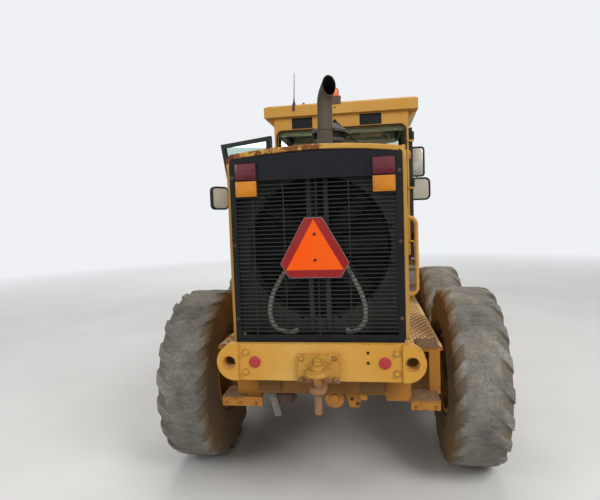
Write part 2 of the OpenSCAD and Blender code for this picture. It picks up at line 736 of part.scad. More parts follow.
module cab_shell() color(black) placed() {
    difference() {
        union() {
            translate([0, 0, floor_z]) linear_extrude(height = 60) outline(floor_line);
            difference() {
                translate([0, 0, head_z]) linear_extrude(height = 90) outline(head_line);
                translate([0, 0, head_z - 1]) linear_extrude(height = 92) outline(head_line, 90);
            }
            // rear posts
            both() box([cab_x - post, cab_back + wall_t, floor_z + 50], [cab_x, cab_back + 90, head_z + 10]);
            box([-cab_x, cab_back + wall_t, head_z - 20], [cab_x, cab_back + 90, head_z + 10]);
            // slanted posts
            both() hull() {
                box([cab_x - 60, 1800, floor_z + 30], [cab_x, 1860, floor_z + 40]);
                box([cab_x - 60, 2120, head_z + 5], [cab_x, 2180, head_z + 15]);
            }
            both() hull() {
                box([380, corner_y(0, 430) - 62, floor_z + 30], [430, corner_y(0, 430) - 2, floor_z + 40]);
                box([380, corner_y(1, 430) - 62, head_z + 5], [430, corner_y(1, 430) - 2, head_z + 15]);
            }
        }
        // the rear wall's place
        box([-cab_x - 1, cab_back - 1, floor_z + 60.3], [cab_x + 1, cab_back + wall_t + 0.3, head_z + 91]);
    }
    // feet on the front frame
    both() box([300, 2160, 1300.3], [540, 2290, floor_z + 5]);
}

roof_low = 3145;
vent_z = 3008;
vent_h = 120;
vents = [[-576, -335], [238, 486]];
window_x = cab_x - 40;
window_low = 2000;
window_top = 2978;

// a plate with round corners, standing across Y
module round_plate(x, z, r, y0, y1) {
    rotate([90, 0, 0]) translate([0, 0, -y1]) linear_extrude(height = y1 - y0) union() {
        translate([x[0] + r, z[0]]) square([x[1] - x[0] - 2 * r, z[1] - z[0]]);
        translate([x[0], z[0] + r]) square([x[1] - x[0], z[1] - z[0] - 2 * r]);
        for (a = [x[0] + r, x[1] - r], b = [z[0] + r, z[1] - r]) translate([a, b]) circle(r = r, $fn = 32);
    }
}

// rear wall with its window and its air vents
module cab_rear_wall() color(yellow) placed() {
    difference() {
        box([-cab_x, cab_back, floor_z + 60.3], [cab_x, cab_back + wall_t, roof_low - 0.3]);
        round_plate([-window_x, window_x], [window_low, window_top], 60, cab_back - 10, cab_back + wall_t + 10);
        for (v = vents) box([v[0], cab_back - 1, vent_z], [v[1], cab_back + 30, vent_z + vent_h]);
    }
    // louvre blades in the vents
    for (v = vents, i = [0:3]) translate([v[0] - 1, cab_back + 12, vent_z + 16 + i * 28])
        rotate([35, 0, 0]) cube([v[1] - v[0] + 2, 20, 3]);
    // hinge brackets and pins of the doors
    both() for (z = hinge_rows) {
        box([cab_x - 10, hinge_y - 12, z - 24], [hinge_x, hinge_y + 12, z - 4]);
        rod_z(13, hinge_x, hinge_y, z - 24, z - 4, 24);
        rod_z(hinge_pin, hinge_x, hinge_y, z - 10, z + 88, 24);
    }
}

// the roof's foot stands ahead of the rear wall
roof_line = [[cab_x, cab_back + wall_t + 0.3], head_line[1], head_line[2]];

// edge of the roof's slab, its rear edge at y
function slab_line(y, d) = [[roof_w / 2 - d, y], [roof_w / 2 - d, 2260 - d / 2], [500 - d / 2, 2920 - d]];

module cab_roof() color(yellow) placed() {
    translate([0, 0, head_z + 90.3]) linear_extrude(height = roof_low - head_z - 89) outline(roof_line);
    // flared foot, slab and bevelled top
    hull() {
        translate([0, 0, head_z + 110]) linear_extrude(height = 1) outline(roof_line);
        translate([0, 0, roof_low]) linear_extrude(height = 1) outline(slab_line(roof_line[0][1], 0));
    }
    translate([0, 0, roof_low]) linear_extrude(height = roof_top - roof_low - 25) outline(slab_line(1150, 0));
    hull() {
        translate([0, 0, roof_top - 26]) linear_extrude(height = 1) outline(slab_line(1150, 0));
        translate([0, 0, roof_top - 1]) linear_extrude(height = 1) outline(slab_line(1190, 40));
    }
}

module pane(a, b, c, d, n, t) {
    pts = concat([a, b, c, d], [for (p = [a, b, c, d]) p + t * n]);
    polyhedron(points = pts, faces = [[3, 2, 1, 0], [4, 5, 6, 7], [0, 1, 5, 4], [1, 2, 6, 5],
        [2, 3, 7, 6], [3, 0, 4, 7]], convexity = 2);
}

module cab_glass() color([0.55, 0.72, 0.70, 0.4]) placed() {
    z0 = floor_z + 60.3;
    z1 = head_z - 0.3;
    // rear pane stands outside the wall
    round_plate([-window_x - 10, window_x + 10], [window_low - 10, window_top + 10], 70, cab_back - 7, cab_back - 0.3);
    y0 = corner_y(0, 430) - 40;
    y1 = corner_y(1, 430) - 44;
    pane([-378, y0, z0], [378, y0, z0], [378, y1, z1], [-378, y1, z1], [0, 1, 0], 7);
    both() pane([436, corner_y(0, 436) - 12, z0], [cab_x - 20, corner_y(0, cab_x - 20) - 12, z0],
        [cab_x - 20, corner_y(1, cab_x - 20) - 12, z1], [436, corner_y(1, 436) - 12, z1], [0.79, 0.61, 0], 7);
}

// door: y and z of its outline in the closed place
door_back = cab_back + 12;
door_line = [[door_back, floor_z + 30], [1790, floor_z + 30], [2105, head_z - 8], [door_back, head_z - 8]];
door_light = [[door_back + 62, 1700], [1775, 1700], [2025, head_z - 60], [door_back + 62, head_z - 60]];

module door_place(s, a) {
    placed() mirror([s > 0 ? 0 : 1, 0, 0]) translate([hinge_x, hinge_y, 0]) rotate([0, 0, -a])
        translate([-hinge_x, -hinge_y, 0]) children();
}

module slab(line, x0, x1) {
    rotate([90, 0, 90]) translate([0, 0, x0]) linear_extrude(height = x1 - x0) polygon(line);
}

mirror_x = cab_x + 190;

module door_frame(s) {
    difference() {
        union() {
            difference() {
                slab(door_line, cab_x + 6, cab_x + 42);
                slab(door_light, cab_x, cab_x + 50);
            }
            for (z = hinge_rows) {
                rod_z(hinge_pin + 6, hinge_x, hinge_y, z, z + 90, 24);
                box([cab_x + 40, hinge_y, z], [cab_x + 52, door_back + 50, z + 90]);
            }
        }
        for (z = hinge_rows) rod_z(hinge_pin + pin_gap, hinge_x, hinge_y, z - 10, z + 100, 24);
    }
    // handle
    box([cab_x + 41, 1700, 1600], [cab_x + 64, 1790, 1625]);
    // round-cornered mirror on its arm
    z = s > 0 ? 2262 : 2222;
    box([cab_x + 41, 1920, z - 12], [cab_x + 60, 2010, z + 8]);
    box([cab_x + 41, 1990, z - 12], [cab_x + 120, 2010, z + 8]);
    round_plate([mirror_x - 145, mirror_x + 145], [z - 150, z + 150], 62, 1992, 2028);
    // long mirror above it, on the right door alone
    if (s > 0) {
        round_plate([mirror_x - 124, mirror_x + 76], [2424, 2820], 36, 1992, 2016);
        rod_z(9, mirror_x - 25, 2008, 2405, 2430, 20);
        box([cab_x + 41, 1998, 2610], [mirror_x - 110, 2014, 2630]);
    }
}

module door_glass() {
    slab([for (p = door_light) [p[0] + (p[0] < 1400 ? 1 : -1), p[1] + (p[1] < 2000 ? 1 : -1)]],
        cab_x + 20, cab_x + 26);
}

module door_left() { color(black) door_place(-1, door_open) door_frame(-1); }
module door_left_glass() { color([0.55, 0.72, 0.70, 0.4]) door_place(-1, door_open) door_glass(); }
module door_right() { color(black) door_place(1, 0) door_frame(1); }
module door_right_glass() { color([0.55, 0.72, 0.70, 0.4]) door_place(1, 0) door_glass(); }

module seat() color([0.16, 0.17, 0.18]) placed() {
    // pedestal, cushion, back, head rest: x half, y0, y1, z0, z1
    for (r = [[160, 1480, 1760, 1440.5, 1640], [250, 1380, 1880, 1639, 1770]])
        box([-r[0], r[1], r[3]], [r[0], r[2], r[4]]);
    translate([0, 1400, 1760]) rotate([8, 0, 0]) box([-230, -60, 0], [230, 70, 640]);
    both() box([252, 1420, 1900], [320, 1760, 1950]);
    both() box([228, 1420, 1700], [260, 1500, 1950]);
}

module console() color([0.10, 0.10, 0.11]) placed() {
    box([-110, 2120, 1440.5], [110, 2260, 1500]);
    translate([0, 2190, 1490]) rotate([18, 0, 0]) {
        box([-70, -45, 0], [70, 45, 640]);
        translate([0, -10, 660]) {
            rotate_extrude($fn = 48) translate([190, 0]) circle(r = 15, $fn = 16);
            cylinder(r = 40, h = 24, center = true, $fn = 32);
            for (a = [0, 120, 240]) rotate([0, 0, a]) box([30, -14, -8], [182, 14, 8]);
        }
        translate([0, 0, 600]) cylinder(r = 25, h = 70, $fn = 24);
    }
}

module roof_beacon() color([0.85, 0.40, 0.08]) placed() {
    box([-110, 1145, roof_top - 30], [-10, 1149.5, roof_top + 35]);
    box([-110, 1145, roof_top + 30], [-10, 1235, roof_top + 40]);
    rod_z(45, -60, 1190, roof_top + 39, roof_top + 52, 32);
    rod_z(34, -60, 1190, roof_top + 50, roof_top + 125, 32);
    // aerial on the roof's rear edge
    rod_z(14, -545, 1200, roof_top + 0.5, roof_top + 40, 16);
    translate([-545, 1200, roof_top + 30]) rotate([0, 2.4, 0]) cylinder(r = 5, h = 350, $fn = 16);
    rod_z(12, -430, 1210, roof_top + 0.5, roof_top + 22, 16);
}

module cab_ladders() color(steel) placed() {
    both() {
        // side plates, narrower at the top: y and z
        for (x = [600, 960]) slab([[2005, 700], [2135, 700], [2122, 1378], [2038, 1378]], x, x + 16);
        for (z = [705, 930, 1155]) box([600, 2000, z], [976, 2140, z + 22]);
        box([560.3, 2155, 1225], [976, 2200, 1299]);
        box([600, 2100, 1225], [976, 2160, 1299]);
        box([600, 2020, 1350], [976, 2140, 1376]);
    }
}

module headlamps() color([0.75, 0.76, 0.76]) placed() {
    y = y_front - 246;
    box([-60, y, beam_top + 0.3], [60, y + 50, beam_top + 70]);
    box([-430, y + 15, beam_top + 45], [430, y + 40, beam_top + 70]);
    both() {
        box([365, y + 18, beam_top + 69], [395, y + 36, beam_top + 100]);
        // turned lamp bowl, its lens to the front: radius and depth
        translate([380, y + 72, beam_top + 165]) rotate([90, 0, 0]) rotate_extrude($fn = 48)
            polygon([[0, 0], [74, 0], [80, 8], [80, 34], [64, 66], [34, 92], [0, 92]]);
    }
}

/* Drawbar, circle and blade */

circle_z = 740;
lift_ball_r = 38;
lift_ball_z = 1010;
arm_x = 530;
tip_y = circle_y - 320;
tip_z = 170;

module drawbar() color(yellow) placed() {
    translate([0, 0, 835]) linear_extrude(height = 110) difference() {
        polygon([[-80, ball_y - 90], [80, ball_y - 90], [640, circle_y + 180], [640, circle_y - 320],
                 [-640, circle_y - 320], [-640, circle_y + 180]]);
        polygon([[0, ball_y - 470], [430, circle_y + 260], [430, circle_y + 240], [-430, circle_y + 240],
                 [-430, circle_y + 260]]);
        translate([0, circle_y]) circle(r = 300, $fn = 64);
    }
    // neck and round head of the front pivot
    rod_y(42, 0, ball_y - 130, ball_y - 30, ball_z, 32);
    rod_x(ball_r, -ball_half, ball_half, ball_y, ball_z, 48);
    // balls that take the lift cylinders' lower ends
    both() translate([lift_x, saddle_y, 0]) rotate_extrude($fn = 40) polygon(ball_post);
}

// section of a lift ball on its post: radius and height
ball_post = concat([[0, 944], [55, 944], [55, 962], [24, 962]],
    [for (a = [-50:20:70]) [lift_ball_r * cos(a), lift_ball_z + lift_ball_r * sin(a)]],
    [[0, lift_ball_z + lift_ball_r * sin(70)]]);

module circle_ring() {
    rotate_extrude($fn = 96) translate([circle_d / 2 - 115, 0]) square([100, 94.7]);
    // teeth on the outer edge
    for (i = [0:47]) rotate([0, 0, i * 7.5]) translate([0, 0, 8]) linear_extrude(height = 68)
        polygon([[circle_d / 2 - 18, -27], [circle_d / 2, -13], [circle_d / 2, 13], [circle_d / 2 - 18, 27]]);
}

module blade_circle() {
    color(steel) placed() {
        translate([0, circle_y, circle_z]) circle_ring();
        both() slab([[circle_y - 660, circle_z + 5], [circle_y - 260, circle_z + 5], [tip_y + 62, 560],
            [tip_y + 62, tip_z - 20], [tip_y + 40, tip_z - 62], [tip_y, tip_z - 74], [tip_y - 40, tip_z - 62],
            [tip_y - 70, tip_z - 20], [tip_y - 120, 480], [tip_y - 250, 640]], arm_x, arm_x + 40);
        both() rod_x(24, arm_x - 55, arm_x + 30, tip_y, tip_z, 32);
    }
}

mold_t = 22;
// the moldboard's back stays where the carrier's guides are
mold_y = tip_y + 165 + blade_r + mold_t;
mold_z = blade_up + 345;
rail_y = tip_y + 130;

module blade_carrier() color(yellow) placed() {
    difference() {
        union() {
            both() {
                box([480, tip_y - 60, 110], [522, rail_y - 0.3, 600]);
                for (z = [[110, 179.7], [555.3, 600]]) box([430, tip_y + 30, z[0]], [522, rail_y + 38, z[1]]);
                box([430, tip_y + 30, 110], [482, rail_y - 0.3, 600]);
            }
            box([-482, tip_y - 10, 360], [482, tip_y + 50, 430]);
        }
        both() rod_x(24 + pin_gap, 400, 540, tip_y, tip_z, 32);
    }
}

rail_half = blade_l / 2 - 309;

module moldboard() color([0.62, 0.47, 0.22]) placed() {
    half = asin(265 / blade_r);
    translate([0, mold_y, mold_z]) rotate([0, 90, 0]) rotate([0, 0, -90 - half])
        rotate_extrude(angle = 2 * half, $fn = 96) translate([blade_r, -blade_l / 2]) square([mold_t, blade_l]);
    // cutting edge
    translate([-blade_l / 2 + 2, mold_y - blade_r * cos(half), mold_z - 265]) rotate([half, 0, 0])
        box([0, -7, -84], [blade_l - 4, 10, 70]);
    // rails on the back
    for (z = [205, 530]) box([-rail_half, rail_y, z - 25],
        [rail_half, mold_y - sqrt(pow(blade_r + mold_t, 2) - pow(z - mold_z, 2)) + 12, z + 25]);
}

/* Lift cylinders */

// the rods' heads stand this far above their balls, as that pivot is the open one
lift_open = 6;
bore_r = 30;
// how far the balls go up and down, and the ends of barrel and rod that this travel asks for
lift_up = 476;
lift_down = 674;
head_low = lift_ball_z + lift_ball_r + lift_open;
head_top = head_low + 60;
barrel_low = head_top + lift_up + 34;
rod_top = barrel_low + lift_down + 60;
barrel_top = rod_top + lift_up + 36;

module lift_barrels() color(steel) placed() both() difference() {
    union() {
        rod_z(60, lift_x, saddle_y, barrel_low, barrel_top, 48);
        rod_x(trunnion_r, lift_x - cheek, lift_x + cheek, saddle_y, lift_z);
        // collar between the cheek plates
        rod_z(cheek - 33, lift_x, saddle_y, lift_z - 45, lift_z + 45, 48);
        // gland and end cap
        rod_z(72, lift_x, saddle_y, barrel_low, barrel_low + 64, 48);
        rod_z(68, lift_x, saddle_y, barrel_top - 40, barrel_top + 4, 48);
        // ports
        for (z = [barrel_low + 100, barrel_top - 70]) rod_y(18, lift_x, saddle_y + 50, saddle_y + 84, z, 24);
    }
    rod_z(bore_r + pin_gap, lift_x, saddle_y, barrel_low - 10, rod_top + lift_up + 10, 40);
}

module lift_rods() color(steel) placed() both() {
    rod_z(48, lift_x, saddle_y, head_low, head_top, 40);
    rod_z(bore_r, lift_x, saddle_y, head_top - 1, rod_top, 40);
}

rear_frame();
rear_bumper();
tow_hitch();
hood();
engine_door_left();
engine_door_right();
grille();
rear_lamps();
warning_sign();
fan_shroud();
fan();
radiator();
engine_block();
cooling_hoses();
exhaust_stack();
precleaner();
rear_axle();
rear_steps();
handrail();
front_frame();
lift_saddle();
cab_shell();
cab_roof();
cab_glass();
door_left();
door_left_glass();
door_right();
door_right_glass();
seat();
console();
roof_beacon();
cab_ladders();
headlamps();
front_axle();
knuckle_left();
knuckle_right();
drawbar();
blade_circle();
blade_carrier();
moldboard();
lift_barrels();
lift_rods();
cab_rear_wall();
rim_front_left();
tyre_front_left();
rim_front_right();
tyre_front_right();
rim_mid_left();
tyre_mid_left();
rim_mid_right();
tyre_mid_right();
rim_rear_left();
tyre_rear_left();
rim_rear_right();
tyre_rear_right();
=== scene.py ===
import json
import math
import random

import bmesh
import bpy
from mathutils import Matrix, Vector

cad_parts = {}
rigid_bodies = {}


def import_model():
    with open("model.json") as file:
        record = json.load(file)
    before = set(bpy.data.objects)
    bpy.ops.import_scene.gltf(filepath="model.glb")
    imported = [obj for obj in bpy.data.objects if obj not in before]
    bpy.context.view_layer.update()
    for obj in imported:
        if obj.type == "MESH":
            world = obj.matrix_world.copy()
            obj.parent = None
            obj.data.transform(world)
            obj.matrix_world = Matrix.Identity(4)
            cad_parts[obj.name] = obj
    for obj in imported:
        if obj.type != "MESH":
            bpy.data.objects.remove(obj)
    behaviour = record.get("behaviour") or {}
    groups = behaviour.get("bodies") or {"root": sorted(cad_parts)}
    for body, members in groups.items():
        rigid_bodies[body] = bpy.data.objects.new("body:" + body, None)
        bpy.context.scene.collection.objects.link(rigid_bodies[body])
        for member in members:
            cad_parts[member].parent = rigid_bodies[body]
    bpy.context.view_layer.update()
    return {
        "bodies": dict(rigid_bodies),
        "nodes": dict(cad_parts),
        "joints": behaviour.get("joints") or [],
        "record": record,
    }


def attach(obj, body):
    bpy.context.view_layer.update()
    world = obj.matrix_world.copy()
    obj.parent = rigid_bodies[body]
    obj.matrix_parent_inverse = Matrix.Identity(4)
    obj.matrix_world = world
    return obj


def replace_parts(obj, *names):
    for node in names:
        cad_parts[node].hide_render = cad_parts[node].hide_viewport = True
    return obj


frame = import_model()
cad = frame["nodes"]

X, Y, Z = Vector((1, 0, 0)), Vector((0, 1, 0)), Vector((0, 0, 1))
# the part's source measures y from the middle of the tandem axle
TANDEM_Y = -2.470
SHIFT = Matrix.Translation((0, TANDEM_Y, 0))


def tipped(at, degrees):
    """A frame at a place, tipped about X."""
    return Matrix.Translation(at) @ Matrix.Rotation(math.radians(degrees), 4, "X")


def place(x, y, z):
    """A point whose y is measured from the middle of the tandem axle."""
    return Vector((x, y + TANDEM_Y, z))


# camera

IMAGE_WIDTH = 600
FOCAL_PIXELS = 469.53
SENSOR = 36.0
CAMERA_AT = (0.3266, -6.9863, 1.9249)
YAW, PITCH, ROLL = -0.1496, -0.0678, -0.0349


def make_camera():
    ahead = Vector((math.sin(YAW) * math.cos(PITCH), math.cos(YAW) * math.cos(PITCH), math.sin(PITCH)))
    level = Vector((math.cos(YAW), -math.sin(YAW), 0))
    up = level.cross(ahead)
    right = math.cos(ROLL) * level + math.sin(ROLL) * up
    top = math.cos(ROLL) * up - math.sin(ROLL) * level
    data = bpy.data.cameras.new("camera")
    data.sensor_width = SENSOR
    data.lens = FOCAL_PIXELS * SENSOR / IMAGE_WIDTH
    data.clip_end = 200
    camera = bpy.data.objects.new("camera", data)
    turn = Matrix((right, top, -ahead)).transposed().to_4x4()
    camera.matrix_world = Matrix.Translation(CAMERA_AT) @ turn
    bpy.context.scene.collection.objects.link(camera)
    bpy.context.scene.camera = camera


make_camera()


# node helpers

def fill(tree, node, inputs):
    """Gives inputs of a node a link or a value each."""
    for key, value in inputs.items():
        if isinstance(value, bpy.types.NodeSocket):
            tree.links.new(value, node.inputs[key])
        else:
            node.inputs[key].default_value = value


def put(tree, kind, inputs=None, **options):
    """Adds a node, sets its options and fills its inputs."""
    node = tree.nodes.new(kind)
    for key, value in options.items():
        setattr(node, key, value)
    fill(tree, node, inputs or {})
    return node


def maths(tree, operation, a, b=0.0, clamp=False):
    return put(tree, "ShaderNodeMath", {0: a, 1: b}, operation=operation, use_clamp=clamp).outputs[0]


def times(tree, a, b, clamp=False):
    return maths(tree, "MULTIPLY", a, b, clamp)


def plus(tree, a, b, clamp=False):
    return maths(tree, "ADD", a, b, clamp)


def span(tree, value, low, high, start=0.0, end=1.0):
    """Value from low to high becomes start to end, and stays there outside."""
    return put(tree, "ShaderNodeMapRange", {"Value": value, "From Min": low, "From Max": high,
                                            "To Min": start, "To Max": end}).outputs[0]


def mixed(tree, amount, a, b):
    return put(tree, "ShaderNodeMix", {0: amount, 6: a, 7: b}, data_type="RGBA").outputs[2]


def noise(tree, where, scale, detail=4.0, rough=0.55):
    return put(tree, "ShaderNodeTexNoise", {"Vector": where, "Scale": scale, "Detail": detail,
                                            "Roughness": rough}).outputs[0]


def place_on(tree):
    """The place on the object itself, for patterns that stay with it."""
    return put(tree, "ShaderNodeTexCoord").outputs["Object"]


def axes_of(tree):
    """The same place as a node with an output for each of x, y and z."""
    return put(tree, "ShaderNodeSeparateXYZ", {0: place_on(tree)})


def upward(tree):
    """How far a face looks up."""
    normal = put(tree, "ShaderNodeNewGeometry").outputs["Normal"]
    return put(tree, "ShaderNodeSeparateXYZ", {0: normal}).outputs[2]


def group(name, kind, inputs, outputs):
    """A node group with its sockets, and where its inputs come from and its outputs go."""
    tree = bpy.data.node_groups.new(name, kind)
    for label, sort, value in inputs:
        socket = tree.interface.new_socket(label, in_out="INPUT", socket_type=sort)
        if value is not None:
            socket.default_value = value
    for label, sort in outputs:
        tree.interface.new_socket(label, in_out="OUTPUT", socket_type=sort)
    return tree, put(tree, "NodeGroupInput").outputs, put(tree, "NodeGroupOutput").inputs


def rgb(r, g, b):
    """A colour written as 0 to 255 on the screen, as a linear colour."""
    linear = [c / 255 / 12.92 if c <= 10 else ((c / 255 + 0.055) / 1.055) ** 2.4 for c in (r, g, b)]
    return (*linear, 1.0)


# surface effects that several finishes share

FLOAT, COLOUR, VECTOR = "NodeSocketFloat", "NodeSocketColor", "NodeSocketVector"

# weathered surface: fading, vertical streaks, rust from edges and specks, dust on tops and near the ground
weather, given, gives = group(
    "weathered surface", "ShaderNodeTree",
    [("Paint", COLOUR, rgb(200, 148, 62)), ("Faded", COLOUR, rgb(210, 165, 90)),
     ("Rust Colour", COLOUR, rgb(92, 48, 28)), ("Dust Colour", COLOUR, rgb(140, 122, 100)),
     ("Dust", FLOAT, 0.3), ("Rust", FLOAT, 0.3), ("Wear", FLOAT, 0.6), ("Local Rust", FLOAT, 0.0),
     ("Grain", FLOAT, 9.0), ("Smoothness", FLOAT, 0.6)],
    [("Colour", COLOUR), ("Roughness", FLOAT), ("Height", FLOAT), ("Rust Mask", FLOAT),
     ("Soft Normal", VECTOR)])
where = place_on(weather)
broad = noise(weather, where, 1.3, 5, 0.6)
fine = noise(weather, where, given["Grain"], 9, 0.68)
speck = noise(weather, where, 95.0, 3, 0.6)
hung = put(weather, "ShaderNodeMapping", {"Vector": where, "Scale": (1.0, 1.0, 0.05)}).outputs[0]
streak = noise(weather, hung, 22.0, 5, 0.6)
facing = put(weather, "ShaderNodeNewGeometry")
heading = put(weather, "ShaderNodeSeparateXYZ", {0: facing.outputs["Normal"]})
height = put(weather, "ShaderNodeSeparateXYZ", {0: where}).outputs[2]
softened = put(weather, "ShaderNodeBevel", {"Radius": 0.007}, samples=4).outputs[0]
agree = put(weather, "ShaderNodeVectorMath", {0: softened, 1: facing.outputs["Normal"]},
            operation="DOT_PRODUCT")
edge = span(weather, agree.outputs["Value"], 0.995, 0.90)
edge = times(weather, edge, span(weather, fine, 0.42, 0.58))
edge = times(weather, edge, given["Wear"])
mixed_noise = plus(weather, times(weather, fine, 0.62), times(weather, broad, 0.38))
mixed_noise = plus(weather, mixed_noise, times(weather, speck, 0.10))
reach = plus(weather, times(weather, given["Rust"], 0.28), times(weather, given["Local Rust"], 0.34))
patch = span(weather, plus(weather, mixed_noise, reach), 0.735, 0.80)
rust_mask = maths(weather, "MAXIMUM", patch, edge, True)
settled = times(weather, span(weather, heading.outputs[2], 0.2, 0.95), 0.75)
splash = times(weather, span(weather, height, 1.15, 0.25), 0.55)
dust = plus(weather, plus(weather, settled, splash), span(weather, streak, 0.42, 0.75, 0.0, 0.4))
dust = times(weather, dust, span(weather, fine, 0.32, 0.62, 0.35, 1.0))
dust = times(weather, dust, given["Dust"], True)
tone = mixed(weather, span(weather, plus(weather, broad, times(weather, streak, 0.4)), 0.55, 0.85),
             given["Paint"], given["Faded"])
rusty = mixed(weather, span(weather, speck, 0.35, 0.65), given["Rust Colour"], rgb(126, 74, 44))
tone = mixed(weather, rust_mask, tone, rusty)
tone = mixed(weather, dust, tone, given["Dust Colour"])
weather.links.new(tone, gives["Colour"])
rough = maths(weather, "SUBTRACT", 1.0, given["Smoothness"])
rough = plus(weather, rough, times(weather, maths(weather, "MAXIMUM", dust, rust_mask), 0.38))
rough = plus(weather, rough, span(weather, fine, 0.3, 0.7, -0.06, 0.06), True)
weather.links.new(rough, gives["Roughness"])
raised = plus(weather, times(weather, speck, 0.3), times(weather, rust_mask, -0.5))
raised = plus(weather, raised, times(weather, fine, 0.35))
weather.links.new(raised, gives["Height"])
weather.links.new(rust_mask, gives["Rust Mask"])
weather.links.new(softened, gives["Soft Normal"])


# finishes

def blank(name, gloss=0.22):
    """A material with its own tree and shader; gloss is how much its surface reflects."""
    made = bpy.data.materials.new(name)
    made.use_nodes = True
    tree = made.node_tree
    tree.nodes.clear()
    shader = put(tree, "ShaderNodeBsdfPrincipled", {"Specular IOR Level": gloss})
    put(tree, "ShaderNodeOutputMaterial", {"Surface": shader.outputs[0]})
    return made, tree, shader


def embossed(tree, shader, strength, distance, height, **more):
    """Relief on a finish, from a height that a pattern gives."""
    relief = put(tree, "ShaderNodeBump", {"Strength": strength, "Distance": distance, "Height": height,
                                          **more})
    tree.links.new(relief.outputs[0], shader.inputs["Normal"])


def weathered(name, paint, faded, dust=0.3, rust=0.25, wear=0.7, grain=9.0, smooth=0.55, metal=0.0,
              bump=0.25, local=None, rust_tone=rgb(92, 48, 28), dust_tone=rgb(140, 122, 100)):
    """A finish of paint or metal that has stood outside for years."""
    made, tree, shader = blank(name)
    aged = put(tree, "ShaderNodeGroup", node_tree=weather)
    for label, value in (("Paint", paint), ("Faded", faded), ("Rust Colour", rust_tone),
                         ("Dust Colour", dust_tone), ("Dust", dust), ("Rust", rust), ("Wear", wear),
                         ("Grain", grain), ("Smoothness", smooth)):
        aged.inputs[label].default_value = value
    if local:
        tree.links.new(local(tree), aged.inputs["Local Rust"])
    fill(tree, shader, {"Base Color": aged.outputs["Colour"],
                        "Roughness": aged.outputs["Roughness"]})
    if metal:
        tree.links.new(span(tree, aged.outputs["Rust Mask"], 0.0, 1.0, metal, 0.0),
                       shader.inputs["Metallic"])
    embossed(tree, shader, bump, 0.004, aged.outputs["Height"], Normal=aged.outputs["Soft Normal"])
    return made


def painted_by(made, tone_of):
    """Links the paint of a weathered finish to a colour that depends on the place."""
    tree = made.node_tree
    aged = next(node for node in tree.nodes if node.type == "GROUP")
    tone = tone_of(tree)
    tree.links.new(tone, aged.inputs["Paint"])
    tree.links.new(tone, aged.inputs["Faded"])
    return made


def hitch_tone(tree):
    """Yellow on the plate, bare brown steel on the pin and the lower lug."""
    at = axes_of(tree)
    return mixed(tree, span(tree, at.outputs[2], 0.945, 0.985), rgb(146, 106, 76), rgb(196, 146, 62))


def bumper_tone_and_shade(tree):
    """The plate's yellow, and painted shade: dark brown on the blocks behind its lower edge, where the
    bumper shades them.
    """
    at = axes_of(tree)
    cloud = noise(tree, place_on(tree), 1.6, 5, 0.6)
    plate = mixed(tree, span(tree, cloud, 0.4, 0.65), YELLOW, YELLOW_FADED)
    # below z 0.93 the colour is dark brown as painted shade
    return mixed(tree, span(tree, at.outputs[2], 0.925, 0.932), rgb(104, 72, 32), plate)


def step_tone_and_walkway_light(tree):
    """Yellow plates and brown treads on the rear steps, and pale walkways: a painted highlight where light
    falls on their tops.
    """
    at = axes_of(tree)
    up = upward(tree)
    plate = mixed(tree, span(tree, up, 0.3, 0.6), rgb(176, 116, 40), rgb(88, 60, 42))
    # the pale tone on the walkways is painted light, not their paint
    return mixed(tree, span(tree, at.outputs[1], TANDEM_Y - 1.24, TANDEM_Y - 1.22), plate,
                 rgb(255, 222, 168))


def bar_highlight_tone(tree):
    """Black on the grille's frame, and a lighter grey on its bars as a painted highlight where light falls
    on them.
    """
    at = axes_of(tree)
    inside = span(tree, maths(tree, "ABSOLUTE", at.outputs[0]), 0.481, 0.483, 1.0, 0.0)
    low = span(tree, at.outputs[2], 1.206, 1.208)
    high = span(tree, at.outputs[2], 2.150, 2.155, 1.0, 0.0)
    bars = times(tree, inside, times(tree, low, high))
    # the grey on the bars is painted light
    return mixed(tree, bars, rgb(13, 16, 21), rgb(50, 54, 55))


def kink(tree):
    """Where the folded edge is bent and its paint has gone."""
    at = axes_of(tree)
    away = maths(tree, "ABSOLUTE", plus(tree, at.outputs[0], 0.03))
    bend = maths(tree, "SUBTRACT", 1.0, span(tree, away, 0.04, 0.12))
    left = span(tree, at.outputs[0], 0.02, -0.10, 0.0, 0.46)
    right = span(tree, at.outputs[0], 0.40, 0.50, 0.0, 0.4)
    return maths(tree, "MAXIMUM", maths(tree, "MAXIMUM", times(tree, bend, 0.5), left), right)


def near_top_left(tree):
    """The band under the hood's rear edge, where the paint has gone, most on the left."""
    at = axes_of(tree)
    high = span(tree, at.outputs[2], 2.235, 2.285)
    left = span(tree, at.outputs[0], 0.25, -0.45, 0.15, 0.9)
    rear = span(tree, at.outputs[1], TANDEM_Y - 1.45, TANDEM_Y - 1.64)
    return times(tree, times(tree, high, left), rear)


YELLOW, YELLOW_FADED = rgb(206, 150, 58), rgb(214, 166, 84)
# cab, roof, handrail and roof seam: a darker copy of the hood's yellow, as painted shade
yellow = weathered("yellow paint", rgb(190, 138, 54), rgb(198, 152, 78), 0.25, 0.14, 0.6)
hood_yellow = weathered("hood paint", YELLOW, YELLOW_FADED, 0.25, 0.16, 0.9, local=near_top_left)
low_yellow = weathered("dirty yellow paint", rgb(186, 124, 44), rgb(190, 138, 64), 0.75, 0.34, 0.8,
                       dust_tone=rgb(112, 84, 56))
